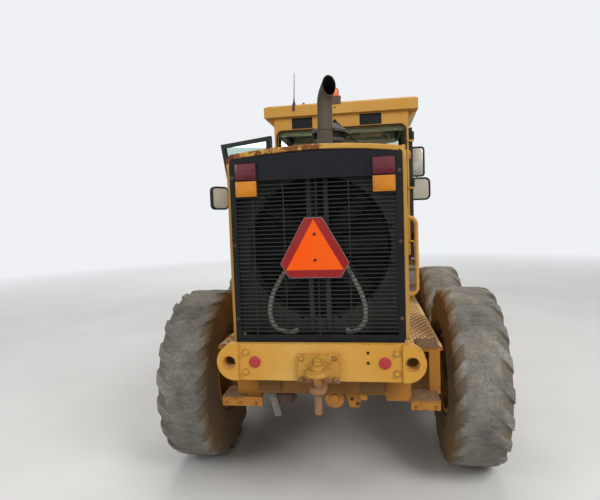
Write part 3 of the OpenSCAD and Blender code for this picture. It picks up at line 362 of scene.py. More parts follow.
# rear frame and rear axle: a darker yellow, partly oil and dirt and partly painted shade for the shade
# under the bumper
grime_and_shade_yellow = weathered("oily frame paint with painted shade", rgb(134, 90, 34), rgb(140, 98, 48), 0.9, 0.42, 0.8,
                         dust_tone=rgb(70, 54, 40))
beam_yellow = weathered("frame paint", YELLOW, rgb(204, 156, 76), 0.4, 0.2, 0.7)
black = weathered("black paint", rgb(12, 15, 20), rgb(22, 26, 32), 0.12, 0.06, 0.1, smooth=0.5,
                  dust_tone=rgb(92, 88, 80))
grille_paint = painted_by(weathered("grille paint", rgb(12, 15, 20), rgb(22, 26, 32), 0.12, 0.06, 0.1,
                                    smooth=0.5, dust_tone=rgb(92, 88, 80)), bar_highlight_tone)
cab_black = weathered("cab frame paint", rgb(30, 31, 33), rgb(44, 46, 49), 0.25, 0.05, 0.3, smooth=0.55,
                      dust_tone=rgb(112, 106, 96))
hitch_paint = painted_by(weathered("chipped hitch paint", YELLOW, YELLOW, 0.25, 0.62, 1.0, grain=34.0,
                                   smooth=0.4, rust_tone=rgb(74, 48, 32)), hitch_tone)
bumper_paint = painted_by(weathered("bumper paint", YELLOW, YELLOW, 0.22, 0.24, 0.9, grain=24.0,
                                    smooth=0.5), bumper_tone_and_shade)
step_paint = painted_by(weathered("trodden step paint and painted walkway light", YELLOW, YELLOW, 0.5, 0.42, 1.0, grain=14.0,
                                  smooth=0.35, rust_tone=rgb(70, 46, 34),
                                  dust_tone=rgb(136, 106, 74)), step_tone_and_walkway_light)
bare = weathered("rusty steel", rgb(122, 96, 70), rgb(142, 116, 88), 0.35, 0.5, 0.3, smooth=0.45, metal=0.5,
                 rust_tone=rgb(98, 56, 34))
grip_brown = weathered("rusty step steel", rgb(78, 56, 48), rgb(96, 74, 64), 0.4, 0.55, 0.3, smooth=0.3,
                       rust_tone=rgb(84, 44, 32))
blade_metal = weathered("scoured blade steel", rgb(140, 128, 112), rgb(160, 149, 130), 0.5, 0.42, 0.3,
                        smooth=0.5, metal=0.75, dust_tone=rgb(128, 108, 84))
stack_metal = weathered("heat stained pipe", rgb(64, 60, 55), rgb(88, 80, 70), 0.2, 0.45, 0.2, smooth=0.4,
                        metal=0.3, rust_tone=rgb(74, 46, 32))
iron = weathered("oily cast iron", rgb(48, 46, 42), rgb(66, 62, 56), 0.35, 0.15, 0.1, smooth=0.5, bump=0.5)
lamp_shell = weathered("lamp housing", rgb(54, 55, 57), rgb(72, 73, 75), 0.2, 0.06, 0.3, smooth=0.6)
fin_metal = weathered("dusty radiator", rgb(26, 28, 29), rgb(36, 37, 36), 0.2, 0.03, 0.0, smooth=0.4,
                      metal=0.3, dust_tone=rgb(58, 56, 52))
shroud_paint = weathered("dusty shroud paint", rgb(62, 66, 63), rgb(76, 79, 74), 0.35, 0.05, 0.1,
                         smooth=0.5)


def plastic(name, tone, worn, rough=0.55, bump=0.15, scale=60.0, coat=0.0):
    """Moulded plastic or rubber: fine grain, and dust that lies on top."""
    made, tree, shader = blank(name)
    at = place_on(tree)
    grain = noise(tree, at, scale, 4, 0.6)
    stain = noise(tree, at, 5.0, 6, 0.6)
    up = upward(tree)
    cover = times(tree, span(tree, up, 0.1, 1.0, 0.25, 1.0), span(tree, stain, 0.35, 0.7))
    fill(tree, shader, {"Base Color": mixed(tree, cover, tone, worn),
                        "Roughness": span(tree, plus(tree, grain, cover), 0.3, 1.3, rough - 0.08,
                                          rough + 0.2),
                        "Coat Weight": coat})
    embossed(tree, shader, bump, 0.002, grain)
    return made


black_plastic = plastic("black plastic", rgb(24, 25, 27), rgb(62, 59, 54))
grey_plastic = plastic("faded grey plastic", rgb(66, 68, 70), rgb(104, 100, 92), 0.6)
hose_grey = plastic("dusty ribbed hose", rgb(150, 146, 134), rgb(196, 188, 168), 0.7, 0.3)
hose_black = plastic("black hose", rgb(30, 30, 30), rgb(80, 74, 64), 0.6, 0.2)
soot = plastic("soot", rgb(7, 7, 7), rgb(13, 12, 11), 0.9, 0.3, 90.0)
reflector_red = plastic("red reflector", rgb(176, 40, 42), rgb(150, 70, 62), 0.25, 0.1, 200.0, 0.6)
sign_red = plastic("dark red reflective border", rgb(146, 26, 28), rgb(156, 60, 50), 0.35, 0.1, 220.0, 0.3)
strap_grey = plastic("grey strap", rgb(120, 116, 108), rgb(150, 142, 128), 0.8, 0.4, 90.0)


def sign_finish():
    """Orange film with pale scuffs and grime that has run down."""
    made, tree, shader = blank("orange film")
    at = place_on(tree)
    cloudy = noise(tree, at, 7.0, 6, 0.65)
    scuffs = put(tree, "ShaderNodeMapping", {"Vector": at, "Rotation": (0, 0.5, 0),
                                             "Scale": (30, 1, 4)}).outputs[0]
    scratch = span(tree, noise(tree, scuffs, 4.0, 5, 0.6), 0.66, 0.72)
    tone = mixed(tree, span(tree, cloudy, 0.35, 0.7), rgb(252, 86, 0), rgb(242, 96, 10))
    fill(tree, shader, {"Base Color": mixed(tree, times(tree, scratch, 0.6), tone, rgb(236, 190, 160)),
                        "Roughness": span(tree, cloudy, 0.3, 0.7, 0.35, 0.55)})
    return made


sign_orange = sign_finish()


def lens(name, deep, pale, rough=0.22):
    """A moulded lamp lens: small prisms in rows, dust in their grooves."""
    made, tree, shader = blank(name)
    at = place_on(tree)
    axes = put(tree, "ShaderNodeSeparateXYZ", {0: at})
    across = maths(tree, "PINGPONG", axes.outputs[0], 0.004)
    along = maths(tree, "PINGPONG", axes.outputs[2], 0.004)
    prism = maths(tree, "MINIMUM", across, along)
    groove = span(tree, prism, 0.0, 0.0018)
    cloud = noise(tree, at, 12.0, 5, 0.6)
    tone = mixed(tree, span(tree, cloud, 0.35, 0.7), deep, pale)
    tone = mixed(tree, span(tree, groove, 0.0, 1.0, 0.35, 0.0), tone, rgb(70, 52, 44))
    fill(tree, shader, {"Base Color": tone,
                        "Roughness": span(tree, cloud, 0.3, 0.7, rough, rough + 0.2),
                        "Coat Weight": 0.5})
    embossed(tree, shader, 0.6, 0.002, times(tree, prism, 250.0))
    return made


lens_red = lens("red lens", rgb(92, 4, 26), rgb(104, 16, 36))
lens_amber = lens("amber lens", rgb(212, 124, 0), rgb(220, 140, 0))
beacon_amber = lens("beacon lens", rgb(232, 104, 22), rgb(240, 130, 50))


def clear(name, tint, rough, dirt):
    """Window glass with dust dried on it."""
    made, tree, shader = blank(name, 0.5)
    at = place_on(tree)
    film = span(tree, noise(tree, at, 3.0, 6, 0.65), 0.4, 0.75)
    fill(tree, shader, {"Base Color": mixed(tree, times(tree, film, dirt), tint, rgb(150, 140, 120)),
                        "Roughness": span(tree, film, 0.0, 1.0, rough, rough + 0.18),
                        "Transmission Weight": 1.0,
                        "IOR": 1.1})
    return made


glass = clear("tinted window glass", rgb(196, 222, 214), 0.03, 0.35)
cab_pane = clear("cab window glass", rgb(232, 238, 230), 0.03, 0.3)
lamp_glass = clear("lamp glass", rgb(232, 234, 230), 0.08, 0.3)


def mirror_finish():
    made, tree, shader = blank("mirror glass", 0.5)
    at = place_on(tree)
    film = span(tree, noise(tree, at, 9.0, 6, 0.65), 0.35, 0.75)
    fill(tree, shader, {"Base Color": mixed(tree, film, rgb(196, 192, 182), rgb(168, 154, 134)),
                        "Roughness": span(tree, film, 0.0, 1.0, 0.12, 0.45),
                        "Metallic": 0.85})
    return made


mirror_glass = mirror_finish()


def chrome_finish():
    made, tree, shader = blank("polished rod", 0.5)
    at = place_on(tree)
    marks = put(tree, "ShaderNodeMapping", {"Vector": at, "Scale": (1, 1, 14)}).outputs[0]
    wiped = noise(tree, marks, 9.0, 5, 0.6)
    tone = mixed(tree, span(tree, wiped, 0.5, 0.7), rgb(206, 208, 212), rgb(150, 142, 130))
    fill(tree, shader, {"Base Color": tone,
                        "Roughness": span(tree, wiped, 0.3, 0.7, 0.12, 0.32),
                        "Metallic": 1.0})
    return made


chrome = chrome_finish()


def tyre_finish():
    """Old rubber: grey dust on the lugs, dry mud in the grooves, dark only where it rubs."""
    made, tree, shader = blank("dusty tyre rubber")
    at = place_on(tree)
    groove = put(tree, "ShaderNodeAttribute", attribute_name="groove").outputs["Fac"]
    cloud = noise(tree, at, 4.0, 7, 0.65)
    grain = noise(tree, at, 70.0, 6, 0.7)
    drawn = put(tree, "ShaderNodeMapping", {"Vector": at, "Scale": (4.0, 22.0, 22.0)}).outputs[0]
    scrape = noise(tree, drawn, 2.0, 6, 0.7)
    tone = mixed(tree, span(tree, plus(tree, cloud, times(tree, scrape, 0.5)), 0.55, 0.95),
                 rgb(96, 95, 92), rgb(160, 156, 146))
    tone = mixed(tree, span(tree, grain, 0.40, 0.66, 0.0, 0.5), tone, rgb(72, 71, 68))
    mud = times(tree, groove, span(tree, cloud, 0.3, 0.6, 0.25, 0.9))
    tone = mixed(tree, mud, tone, rgb(104, 88, 66))
    # the walls that face the machine are stained with earth
    axes = put(tree, "ShaderNodeSeparateXYZ", {0: at})
    inner = span(tree, maths(tree, "ABSOLUTE", axes.outputs[0]), 0.905, 0.860)
    tone = mixed(tree, times(tree, inner, span(tree, cloud, 0.25, 0.6, 0.3, 0.9)), tone,
                 rgb(112, 84, 48))
    fill(tree, shader, {"Base Color": tone,
                        "Roughness": span(tree, grain, 0.3, 0.7, 0.78, 0.95)})
    cracks = put(tree, "ShaderNodeTexVoronoi", {"Vector": at, "Scale": 48.0},
                 feature="DISTANCE_TO_EDGE").outputs["Distance"]
    lumps = plus(tree, times(tree, grain, 0.6), span(tree, cracks, 0.0, 0.05, 0.0, 0.25))
    lumps = plus(tree, lumps, times(tree, scrape, 0.7))
    embossed(tree, shader, 0.5, 0.006, lumps)
    return made


rubber = tyre_finish()


def cloth_finish():
    """Woven seat cloth: two crossed threads, faded where it is sat on."""
    made, tree, shader = blank("woven seat cloth")
    at = place_on(tree)
    axes = put(tree, "ShaderNodeSeparateXYZ", {0: at})
    warp = maths(tree, "PINGPONG", plus(tree, axes.outputs[0], axes.outputs[2]), 0.0016)
    weft = maths(tree, "PINGPONG", maths(tree, "SUBTRACT", axes.outputs[1], axes.outputs[2]), 0.0016)
    weave = times(tree, plus(tree, warp, weft), 300.0)
    fade = noise(tree, at, 6.0, 5, 0.6)
    tone = mixed(tree, span(tree, fade, 0.35, 0.7), rgb(46, 47, 50), rgb(84, 82, 80))
    tone = mixed(tree, span(tree, weave, 0.2, 0.9, 0.5, 0.0), tone, rgb(22, 22, 24))
    fill(tree, shader, {"Base Color": tone,
                        "Roughness": 0.9,
                        "Sheen Weight": 0.3})
    embossed(tree, shader, 0.5, 0.001, weave)
    return made


cloth = cloth_finish()

# what each CAD node wears
FINISHES = {
    yellow: "handrail cab_roof cab_rear_wall",
    hood_yellow: "hood engine_door_left engine_door_right",
    bumper_paint: "rear_bumper",
    low_yellow: "front_axle knuckle_left knuckle_right drawbar blade_carrier",
    grime_and_shade_yellow: "rear_frame rear_axle",
    step_paint: "rear_steps",
    hitch_paint: "tow_hitch",
    beam_yellow: "front_frame lift_saddle lift_barrels",
    grille_paint: "grille",
    shroud_paint: "fan_shroud",
    cab_black: "cab_shell door_left door_right",
    black_plastic: "fan console",
    bare: "blade_circle cab_ladders",
    blade_metal: "moldboard",
    stack_metal: "exhaust_stack",
    grey_plastic: "precleaner",
    fin_metal: "radiator",
    iron: "engine_block",
    chrome: "lift_rods",
    glass: "door_left_glass door_right_glass",
    cab_pane: "cab_glass",
    lamp_shell: "headlamps",
    lens_red: "rear_lamps",
    sign_orange: "warning_sign",
    beacon_amber: "roof_beacon",
    cloth: "seat",
    hose_grey: "cooling_hoses",
}
WHEELS = ["%s_%s" % (row, side) for row in ("front", "mid", "rear") for side in ("left", "right")]
rim_yellow = weathered("rim paint", rgb(196, 136, 48), rgb(204, 156, 78), 0.6, 0.22, 0.6,
                       dust_tone=rgb(112, 88, 62))
FINISHES[rim_yellow] = " ".join("rim_" + w for w in WHEELS)
FINISHES[rubber] = " ".join("tyre_" + w for w in WHEELS)
for finish, names in FINISHES.items():
    for name in names.split():
        cad[name].data.materials.clear()
        cad[name].data.materials.append(finish)


# mesh helpers

SMOOTH_UNDER = math.radians(38)


class Piece:
    """Collects closed solids in one mesh, which then rides on a body. Its y is measured as place() does."""

    def __init__(self, name, finish, body, slot, frame=SHIFT):
        self.name, self.finish, self.body, self.slot, self.frame = name, finish, body, slot, frame
        self.mesh = bmesh.new()

    def take(self, part, turn=None):
        """Adds a finished solid, moved by a matrix if there is one."""
        if turn:
            bmesh.ops.transform(part, matrix=turn, verts=part.verts)
        bmesh.ops.recalc_face_normals(part, faces=part.faces)
        holder = bpy.data.meshes.new("part")
        part.to_mesh(holder)
        part.free()
        self.mesh.from_mesh(holder)
        bpy.data.meshes.remove(holder)

    def block(self, low, high, edge=0.003, turn=None):
        """A block with rounded edges between two corners."""
        part = bmesh.new()
        low, high = Vector(low), Vector(high)
        bmesh.ops.create_cube(part, size=1.0)
        size = high - low
        for v in part.verts:
            v.co = Vector((v.co[i] * size[i] for i in range(3))) + (low + high) / 2
        if edge:
            bmesh.ops.bevel(part, geom=part.edges[:], offset=min(edge, min(size) * 0.45), segments=2,
                            affect="EDGES", profile=0.6)
        self.take(part, turn)

    def prism(self, outline, axis, start, end, edge=0.0, turn=None):
        """A flat outline, given in the two axes that follow axis, drawn out along it."""
        part = bmesh.new()
        i = "XYZ".index(axis)

        def spot(p, along):
            co = [0, 0, 0]
            co[i], co[(i + 1) % 3], co[(i + 2) % 3] = along, p[0], p[1]
            return part.verts.new(co)
        first = [spot(p, start) for p in outline]
        last = [spot(p, end) for p in outline]
        part.faces.new(first)
        part.faces.new(last[::-1])
        for k in range(len(outline)):
            n = (k + 1) % len(outline)
            part.faces.new((first[k], last[k], last[n], first[n]))
        bmesh.ops.recalc_face_normals(part, faces=part.faces)
        if edge:
            bmesh.ops.bevel(part, geom=part.edges[:], offset=edge, segments=2, affect="EDGES", profile=0.6)
        self.take(part, turn)

    def lathe(self, profile, at, axis=Z, sides=32):
        """A closed section of (radius, place along the axis), turned about the axis."""
        part = bmesh.new()
        turn = Matrix.Translation(at) @ Vector(axis).to_track_quat("Z", "Y").to_matrix().to_4x4()
        rings = []
        for k in range(sides):
            a = 2 * math.pi * k / sides
            rings.append([part.verts.new((r * math.cos(a), r * math.sin(a), h)) for r, h in profile])
        for k in range(sides):
            n = (k + 1) % sides
            for j in range(len(profile)):
                m = (j + 1) % len(profile)
                if profile[j][0] > 0 or profile[m][0] > 0:
                    part.faces.new((rings[k][j], rings[n][j], rings[n][m], rings[k][m]))
        bmesh.ops.remove_doubles(part, verts=part.verts, dist=1e-6)
        self.take(part, turn)

    def rod(self, a, b, radius, sides=20, edge=0.001):
        """A round bar between two points, with its ends rounded off."""
        a, b = Vector(a), Vector(b)
        length = (b - a).length
        edge = min(edge, radius * 0.5, length * 0.4)
        self.lathe([(0, 0), (radius - edge, 0), (radius, edge), (radius, length - edge),
                    (radius - edge, length), (0, length)], a, b - a, sides)

    def tube(self, points, radius, sides=12, radii=None):
        """A round bar that follows points."""
        part = bmesh.new()
        points = [Vector(p) for p in points]
        ring, rings = None, []
        for i, p in enumerate(points):
            ahead = (points[min(i + 1, len(points) - 1)] - points[max(i - 1, 0)]).normalized()
            if ring is None:
                ring = ahead.orthogonal().normalized()
            ring = (ring - ahead * ring.dot(ahead)).normalized()
            other = ahead.cross(ring)
            r = radii[i] if radii else radius
            rings.append([part.verts.new(p + r * (math.cos(t) * ring + math.sin(t) * other))
                          for t in angles(sides)])
        for a, b in zip(rings, rings[1:]):
            for k in range(sides):
                n = (k + 1) % sides
                part.faces.new((a[k], a[n], b[n], b[k]))
        part.faces.new(rings[0])
        part.faces.new(rings[-1][::-1])
        self.take(part)

    def frame_of(self, low, high, radius):
        """A rounded border along the edges of a rectangle that faces the rear."""
        y = (low[1] + high[1]) / 2
        line = [(low[0], y, low[2]), (high[0], y, low[2]), (high[0], y, high[2]), (low[0], y, high[2])]
        for a, b in zip(line, line[1:] + line[:1]):
            self.rod(a, b, radius, 10, radius * 0.3)

    def done(self):
        data = bpy.data.meshes.new(self.name)
        self.mesh.to_mesh(data)
        self.mesh.free()
        moved(data, self.frame)
        return finished(self.name, data, self.finish, self.body)


def trim(name, body, frame=SHIFT):
    """A piece of black plastic or rubber."""
    return Piece(name, black_plastic, body, "black_plastic", frame)


def moved(data, matrix):
    """Moves a mesh, and turns its faces out again if the matrix mirrors."""
    data.transform(matrix)
    if matrix.determinant() < 0:
        data.flip_normals()


def finished(name, data, finish, body):
    """Makes a piece of a mesh: its finish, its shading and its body."""
    data.materials.clear()
    data.materials.append(finish)
    for face in data.polygons:
        face.use_smooth = True
        face.material_index = 0
    data.set_sharp_from_angle(angle=SMOOTH_UNDER)
    thing = bpy.data.objects.new(name, data)
    bpy.context.scene.collection.objects.link(thing)
    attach(thing, body)
    return thing


def angles(count, more=0):
    """Equal steps round a circle: one more closes it, many more run on, and fewer leave a gap."""
    return [2 * math.pi * k / count for k in range(count + more)]


def circle(radius, count, more=0):
    """Points at those angles, as pairs."""
    return [(radius * math.cos(a), radius * math.sin(a)) for a in angles(count, more)]


def curve_points(points, count):
    """Points along a smooth line through the given ones."""
    points = [Vector(p) for p in points]
    ends = [2 * points[0] - points[1]] + points + [2 * points[-1] - points[-2]]
    out = []
    spans = len(points) - 1
    for k in range(count + 1):
        t = k / count * spans
        i = min(int(t), spans - 1)
        f = t - i
        a, b, c, d = ends[i:i + 4]
        square, cube = 2 * a - 5 * b + 4 * c - d, 3 * b - a - 3 * c + d
        out.append(0.5 * ((2 * b) + (c - a) * f + square * f * f + cube * f ** 3))
    return out


# geometry node trees

GEOMETRY, INTEGER, MATERIAL = "NodeSocketGeometry", "NodeSocketInt", "NodeSocketMaterial"


def baked(tree, data, settings):
    """Runs a tree on a mesh and returns the plain mesh that comes out."""
    holder = bpy.data.objects.new("holder", data)
    bpy.context.scene.collection.objects.link(holder)
    step = holder.modifiers.new("rule", "NODES")
    step.node_group = tree
    for item in tree.interface.items_tree:
        if item.item_type == "SOCKET" and item.in_out == "INPUT" and item.name in settings:
            step[item.identifier] = settings[item.name]
    shape = holder.evaluated_get(bpy.context.evaluated_depsgraph_get())
    made = bpy.data.meshes.new_from_object(shape)
    holder.modifiers.clear()
    bpy.data.objects.remove(holder)
    return made


def ended(tree, shape, given, gives):
    """The tree's result: its shape in the given finish."""
    last = put(tree, "GeometryNodeSetMaterial", {"Geometry": shape, "Material": given["Finish"]})
    tree.links.new(last.outputs[0], gives["Geometry"])


def points_mesh(points):
    """Loose points on which a tree sets its copies."""
    data = bpy.data.meshes.new("points")
    data.from_pydata([tuple(p) for p in points], [], [])
    return data


# bolt heads: a hexagon on a washer at every point, all turned the same way
bolt_rule, given, gives = group(
    "bolt heads", "GeometryNodeTree",
    [("Geometry", GEOMETRY, None), ("Radius", FLOAT, 0.012), ("Height", FLOAT, 0.008),
     ("Turn", VECTOR, None), ("Finish", MATERIAL, None)],
    [("Geometry", GEOMETRY)])
head = put(bolt_rule, "GeometryNodeMeshCylinder", {"Vertices": 6, "Radius": given["Radius"],
                                                   "Depth": given["Height"]})
raise_head = put(bolt_rule, "ShaderNodeCombineXYZ", {2: times(bolt_rule, given["Height"], 0.7)})
head = put(bolt_rule, "GeometryNodeTransform", {"Geometry": head.outputs[0],
                                                "Translation": raise_head.outputs[0]})
washer = put(bolt_rule, "GeometryNodeMeshCylinder",
             {"Vertices": 16, "Radius": times(bolt_rule, given["Radius"], 1.35),
              "Depth": times(bolt_rule, given["Height"], 0.4)})
whole = put(bolt_rule, "GeometryNodeJoinGeometry")
bolt_rule.links.new(head.outputs[0], whole.inputs[0])
bolt_rule.links.new(washer.outputs[0], whole.inputs[0])
turn = put(bolt_rule, "FunctionNodeEulerToRotation", {0: given["Turn"]})
spread = put(bolt_rule, "GeometryNodeInstanceOnPoints",
             {"Points": given["Geometry"], "Instance": whole.outputs[0], "Rotation": turn.outputs[0]})
real = put(bolt_rule, "GeometryNodeRealizeInstances", {0: spread.outputs[0]})
ended(bolt_rule, real.outputs[0], given, gives)

BACKWARD = (math.pi / 2, 0, 0)
UPWARD = (0, 0, 0)
RIGHTWARD = (0, math.pi / 2, 0)


def bolts(name, points, radius, tall, turn, finish, body, matrix=SHIFT):
    """A bolt head at every point, turned toward a side."""
    data = baked(bolt_rule, points_mesh(points), {"Radius": radius, "Height": tall, "Turn": turn,
                                                  "Finish": finish})
    moved(data, matrix)
    return finished(name, data, finish, body)


# one pitch of a tyre, repeated about its axle and joined up
tyre_rule, given, gives = group(
    "tyre of equal pitches", "GeometryNodeTree",
    [("Geometry", GEOMETRY, None), ("Count", INTEGER, 20), ("Finish", MATERIAL, None)],
    [("Geometry", GEOMETRY)])
stations = put(tyre_rule, "GeometryNodePoints", {"Count": given["Count"]})
number = put(tyre_rule, "GeometryNodeInputIndex").outputs[0]
angle = times(tyre_rule, maths(tyre_rule, "DIVIDE", number, given["Count"]), 2 * math.pi)
about_axle = put(tyre_rule, "ShaderNodeCombineXYZ", {0: angle})
about_axle = put(tyre_rule, "FunctionNodeEulerToRotation", {0: about_axle.outputs[0]})
spread = put(tyre_rule, "GeometryNodeInstanceOnPoints",
             {"Points": stations.outputs[0], "Instance": given["Geometry"],
              "Rotation": about_axle.outputs[0]})
real = put(tyre_rule, "GeometryNodeRealizeInstances", {0: spread.outputs[0]})
joined = put(tyre_rule, "GeometryNodeMergeByDistance", {"Geometry": real.outputs[0], "Distance": 0.0001})
ended(tyre_rule, joined.outputs[0], given, gives)

TYRE_R = 0.6725
TYRE_PITCHES = 20
LUG_DEPTH = 0.026
# half section from the middle of the tread to the bead: across, radius in a groove, share of the lug's
# height, how far along the pitch the lug has run, and how muddy it is
TYRE_ROWS = [
    (0.000, 0.6692, 0.08, 0.00, 0.3), (0.018, 0.6690, 0.10, 0.10, 0.2), (0.045, 0.6682, 0.12, 0.24, 0.2),
    (0.075, 0.6664, 0.16, 0.38, 0.2), (0.100, 0.6634, 0.24, 0.50, 0.2), (0.122, 0.6584, 0.38, 0.60, 0.2),
    (0.140, 0.6510, 0.56, 0.70, 0.2), (0.156, 0.6430, 0.76, 0.80, 0.2), (0.169, 0.6350, 0.92, 0.90, 0.2),
    (0.180, 0.6240, 0.96, 0.99, 0.2), (0.187, 0.6100, 0.80, 1.06, 0.3), (0.191, 0.5930, 0.56, 1.10, 0.3),
    (0.195, 0.5720, 0.26, 1.13, 0.3), (0.1975, 0.5480, 0.05, 1.15, 0.3), (0.1985, 0.5250, 0.00, 1.16, 0.2),
    (0.2000, 0.5000, 0.00, 1.16, 0.2), (0.1992, 0.4600, 0.00, 1.16, 0.2), (0.1940, 0.4180, 0.00, 1.16, 0.2),
    (0.1965, 0.4110, 0.00, 1.16, 0.2), (0.1950, 0.4020, 0.00, 1.16, 0.2), (0.1895, 0.3960, 0.00, 1.16, 0.3),
    (0.1780, 0.3600, 0.00, 1.16, 0.4), (0.1750, 0.3480, 0.00, 1.16, 0.5), (0.1780, 0.3400, 0.00, 1.16, 0.5),
    (0.1700, 0.3290, 0.00, 1.16, 0.6), (0.1560, 0.3200, 0.00, 1.16, 0.7), (0.1500, 0.3050, 0.00, 1.16, 0.7)]
# shares of a pitch where the lug's foot, edge and top begin and end
LUG_FOOT, LUG_TOP, LUG_TOP_END, LUG_FOOT_END = 0.02, 0.09, 0.49, 0.58


def lug_lift(share):
    """How high the lug stands at this share of its pitch, from 0 in the groove to 1 on top."""
    share %= 1.0
    if LUG_FOOT < share < LUG_TOP:
        return (share - LUG_FOOT) / (LUG_TOP - LUG_FOOT)
    if LUG_TOP <= share <= LUG_TOP_END:
        return 1.0
    if LUG_TOP_END < share < LUG_FOOT_END:
        return (LUG_FOOT_END - share) / (LUG_FOOT_END - LUG_TOP_END)
    return 0.0


def tyre_mesh():
    """One pitch of the tyre about the X axis; the two halves' lugs stand half a pitch apart."""
    marks = (LUG_FOOT, LUG_TOP, (LUG_TOP + LUG_TOP_END) / 2, LUG_TOP_END, LUG_FOOT_END, 0.8)
    steps = sorted({round((m + half) % 1.0, 4) for m in marks for half in (0.0, 0.5)} | {0.0, 1.0})
    section = [(-1, row) for row in TYRE_ROWS[:0:-1]] + [(1, row) for row in TYRE_ROWS]
    verts, mud = [], []
    for share in steps:
        for side, (across, radius, lift, run, muddy) in section:
            up = lug_lift(share + (0.5 if side > 0 else 0.0))
            angle = 2 * math.pi / TYRE_PITCHES * (share + run * 0.9)
            out = min(radius + up * lift * LUG_DEPTH, TYRE_R)
            wide = across + (0.006 * up * lift if across > 0.17 else 0.0)
            verts.append((side * min(wide, 0.2), out * math.cos(angle), out * math.sin(angle)))
            mud.append(max(0.0, 1.0 - up) * 0.8 if lift > 0.3 else muddy)
    wide = len(section)
    faces = []
    for i in range(len(steps) - 1):
        for k in range(wide):
            n = (k + 1) % wide
            faces.append((i * wide + k, (i + 1) * wide + k, (i + 1) * wide + n, i * wide + n))
    data = bpy.data.meshes.new("tyre pitch")
    data.from_pydata(verts, [], faces)
    data.attributes.new("groove", "FLOAT", "POINT").data.foreach_set("value", mud)
    return baked(tyre_rule, data, {"Count": TYRE_PITCHES, "Finish": rubber})


WHEEL_BASE = 6.086
TRACK_HALF = 1.0375
KING_X = 0.8
TANDEM_HALF = 0.761
STEER = math.radians(9)


def wheel_turn(name):
    """Places a wheel's own frame, in which its outer face looks to the right."""
    row, side = name.split("_")
    sign = 1 if side == "right" else -1
    if row == "front":
        king = place(sign * KING_X, WHEEL_BASE, TYRE_R)
        steered = Matrix.Translation(king) @ Matrix.Rotation(STEER, 4, "Z")
        turn = steered @ Matrix.Translation((sign * (TRACK_HALF - KING_X), 0, 0))
    else:
        along = TANDEM_HALF * (1 if row == "mid" else -1)
        turn = Matrix.Translation(place(sign * TRACK_HALF, along, TYRE_R))
    return turn @ Matrix.Rotation(0.0 if sign > 0 else math.pi, 4, "Z")


tyre_data = tyre_mesh()
for wheel in WHEELS:
    turn = wheel_turn(wheel)
    data = tyre_data.copy()
    data.transform(turn)
    tyre = finished("tread_" + wheel, data, rubber, "wheel_" + wheel)
    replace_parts(tyre, "tyre_" + wheel)
    ring = [(0.056, y, z) for y, z in circle(0.19, 10)]
    bolts("nuts_" + wheel, ring, 0.017, 0.022, RIGHTWARD, bare, "wheel_" + wheel, turn)
bpy.data.meshes.remove(tyre_data)


# pieces, whose y is measured from the middle of the tandem axle as in the part's source

def both_sides(low, high):
    """A block's corners on the right and on the left."""
    return (low, high), ((-high[0], low[1], low[2]), (-low[0], high[1], high[2]))


SIDES = (("right", SHIFT), ("left", SHIFT @ Matrix.Scale(-1, 4, X)))
# prism() across Y takes z before x; this lets an outline be written as x and z
SWAP = Matrix(((0, 0, 1, 0), (0, 1, 0, 0), (1, 0, 0, 0), (0, 0, 0, 1)))


def middle(a, b):
    return tuple((p + q) / 2 for p, q in zip(a, b))


GRILLE_Y = -1.717
HOOD_X, HOOD_TOP, HOOD_CROWN, HOOD_SHOULDER = 0.550, 2.335, 0.034, 0.045
LAMP_X0, LAMP_X1 = 0.348, 0.479
LAMP_ROWS = {"red": (2.166, 2.264), "amber": (2.064, 2.158)}
BUMPER_Z = 1.050
BUMPER_Y = -1.750


def tail_lamps():
    """Crowned lenses in black bezels, and round reflectors on the bumper."""
    for colour, finish, store in (("red", lens_red, "red_lens"), ("amber", lens_amber, "amber_lens")):
        low, high = LAMP_ROWS[colour]
        lenses = Piece("tail_lenses_" + colour, finish, "rear_body", store)
        for a, b in both_sides((LAMP_X0, GRILLE_Y - 0.012, low), (LAMP_X1, GRILLE_Y + 0.0134, high)):
            lenses.block(a, b, 0.006)
            lenses.block((a[0] + 0.010, GRILLE_Y - 0.0155, a[2] + 0.010),
                         (b[0] - 0.010, GRILLE_Y - 0.008, b[2] - 0.010), 0.0034)
            x, _, z = middle(a, b)
            lenses.rod((x, GRILLE_Y - 0.0165, z), (x, GRILLE_Y - 0.010, z), 0.006, 16)
        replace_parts(lenses.done(), "rear_lamps")
    bezels = trim("lamp_bezels", "rear_body")
    for low, high in LAMP_ROWS.values():
        for a, b in both_sides((LAMP_X0 - 0.003, GRILLE_Y - 0.007, low - 0.0035),
                               (LAMP_X1 + 0.003, GRILLE_Y + 0.002, high + 0.0035)):
            bezels.frame_of(a, b, 0.0028)
    bezels.done()
    discs = Piece("bumper_reflectors", reflector_red, "rear_body", "red_lens")
    for x in (-0.395, 0.395):
        discs.lathe([(0, 0), (0.036, 0), (0.036, 0.004), (0.034, 0.0065), (0.030, 0.0065), (0.026, 0.0085),
                     (0, 0.0092)], (x, BUMPER_Y - 0.0003, BUMPER_Z), -Y, 48)
    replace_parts(discs.done(), "rear_lamps")


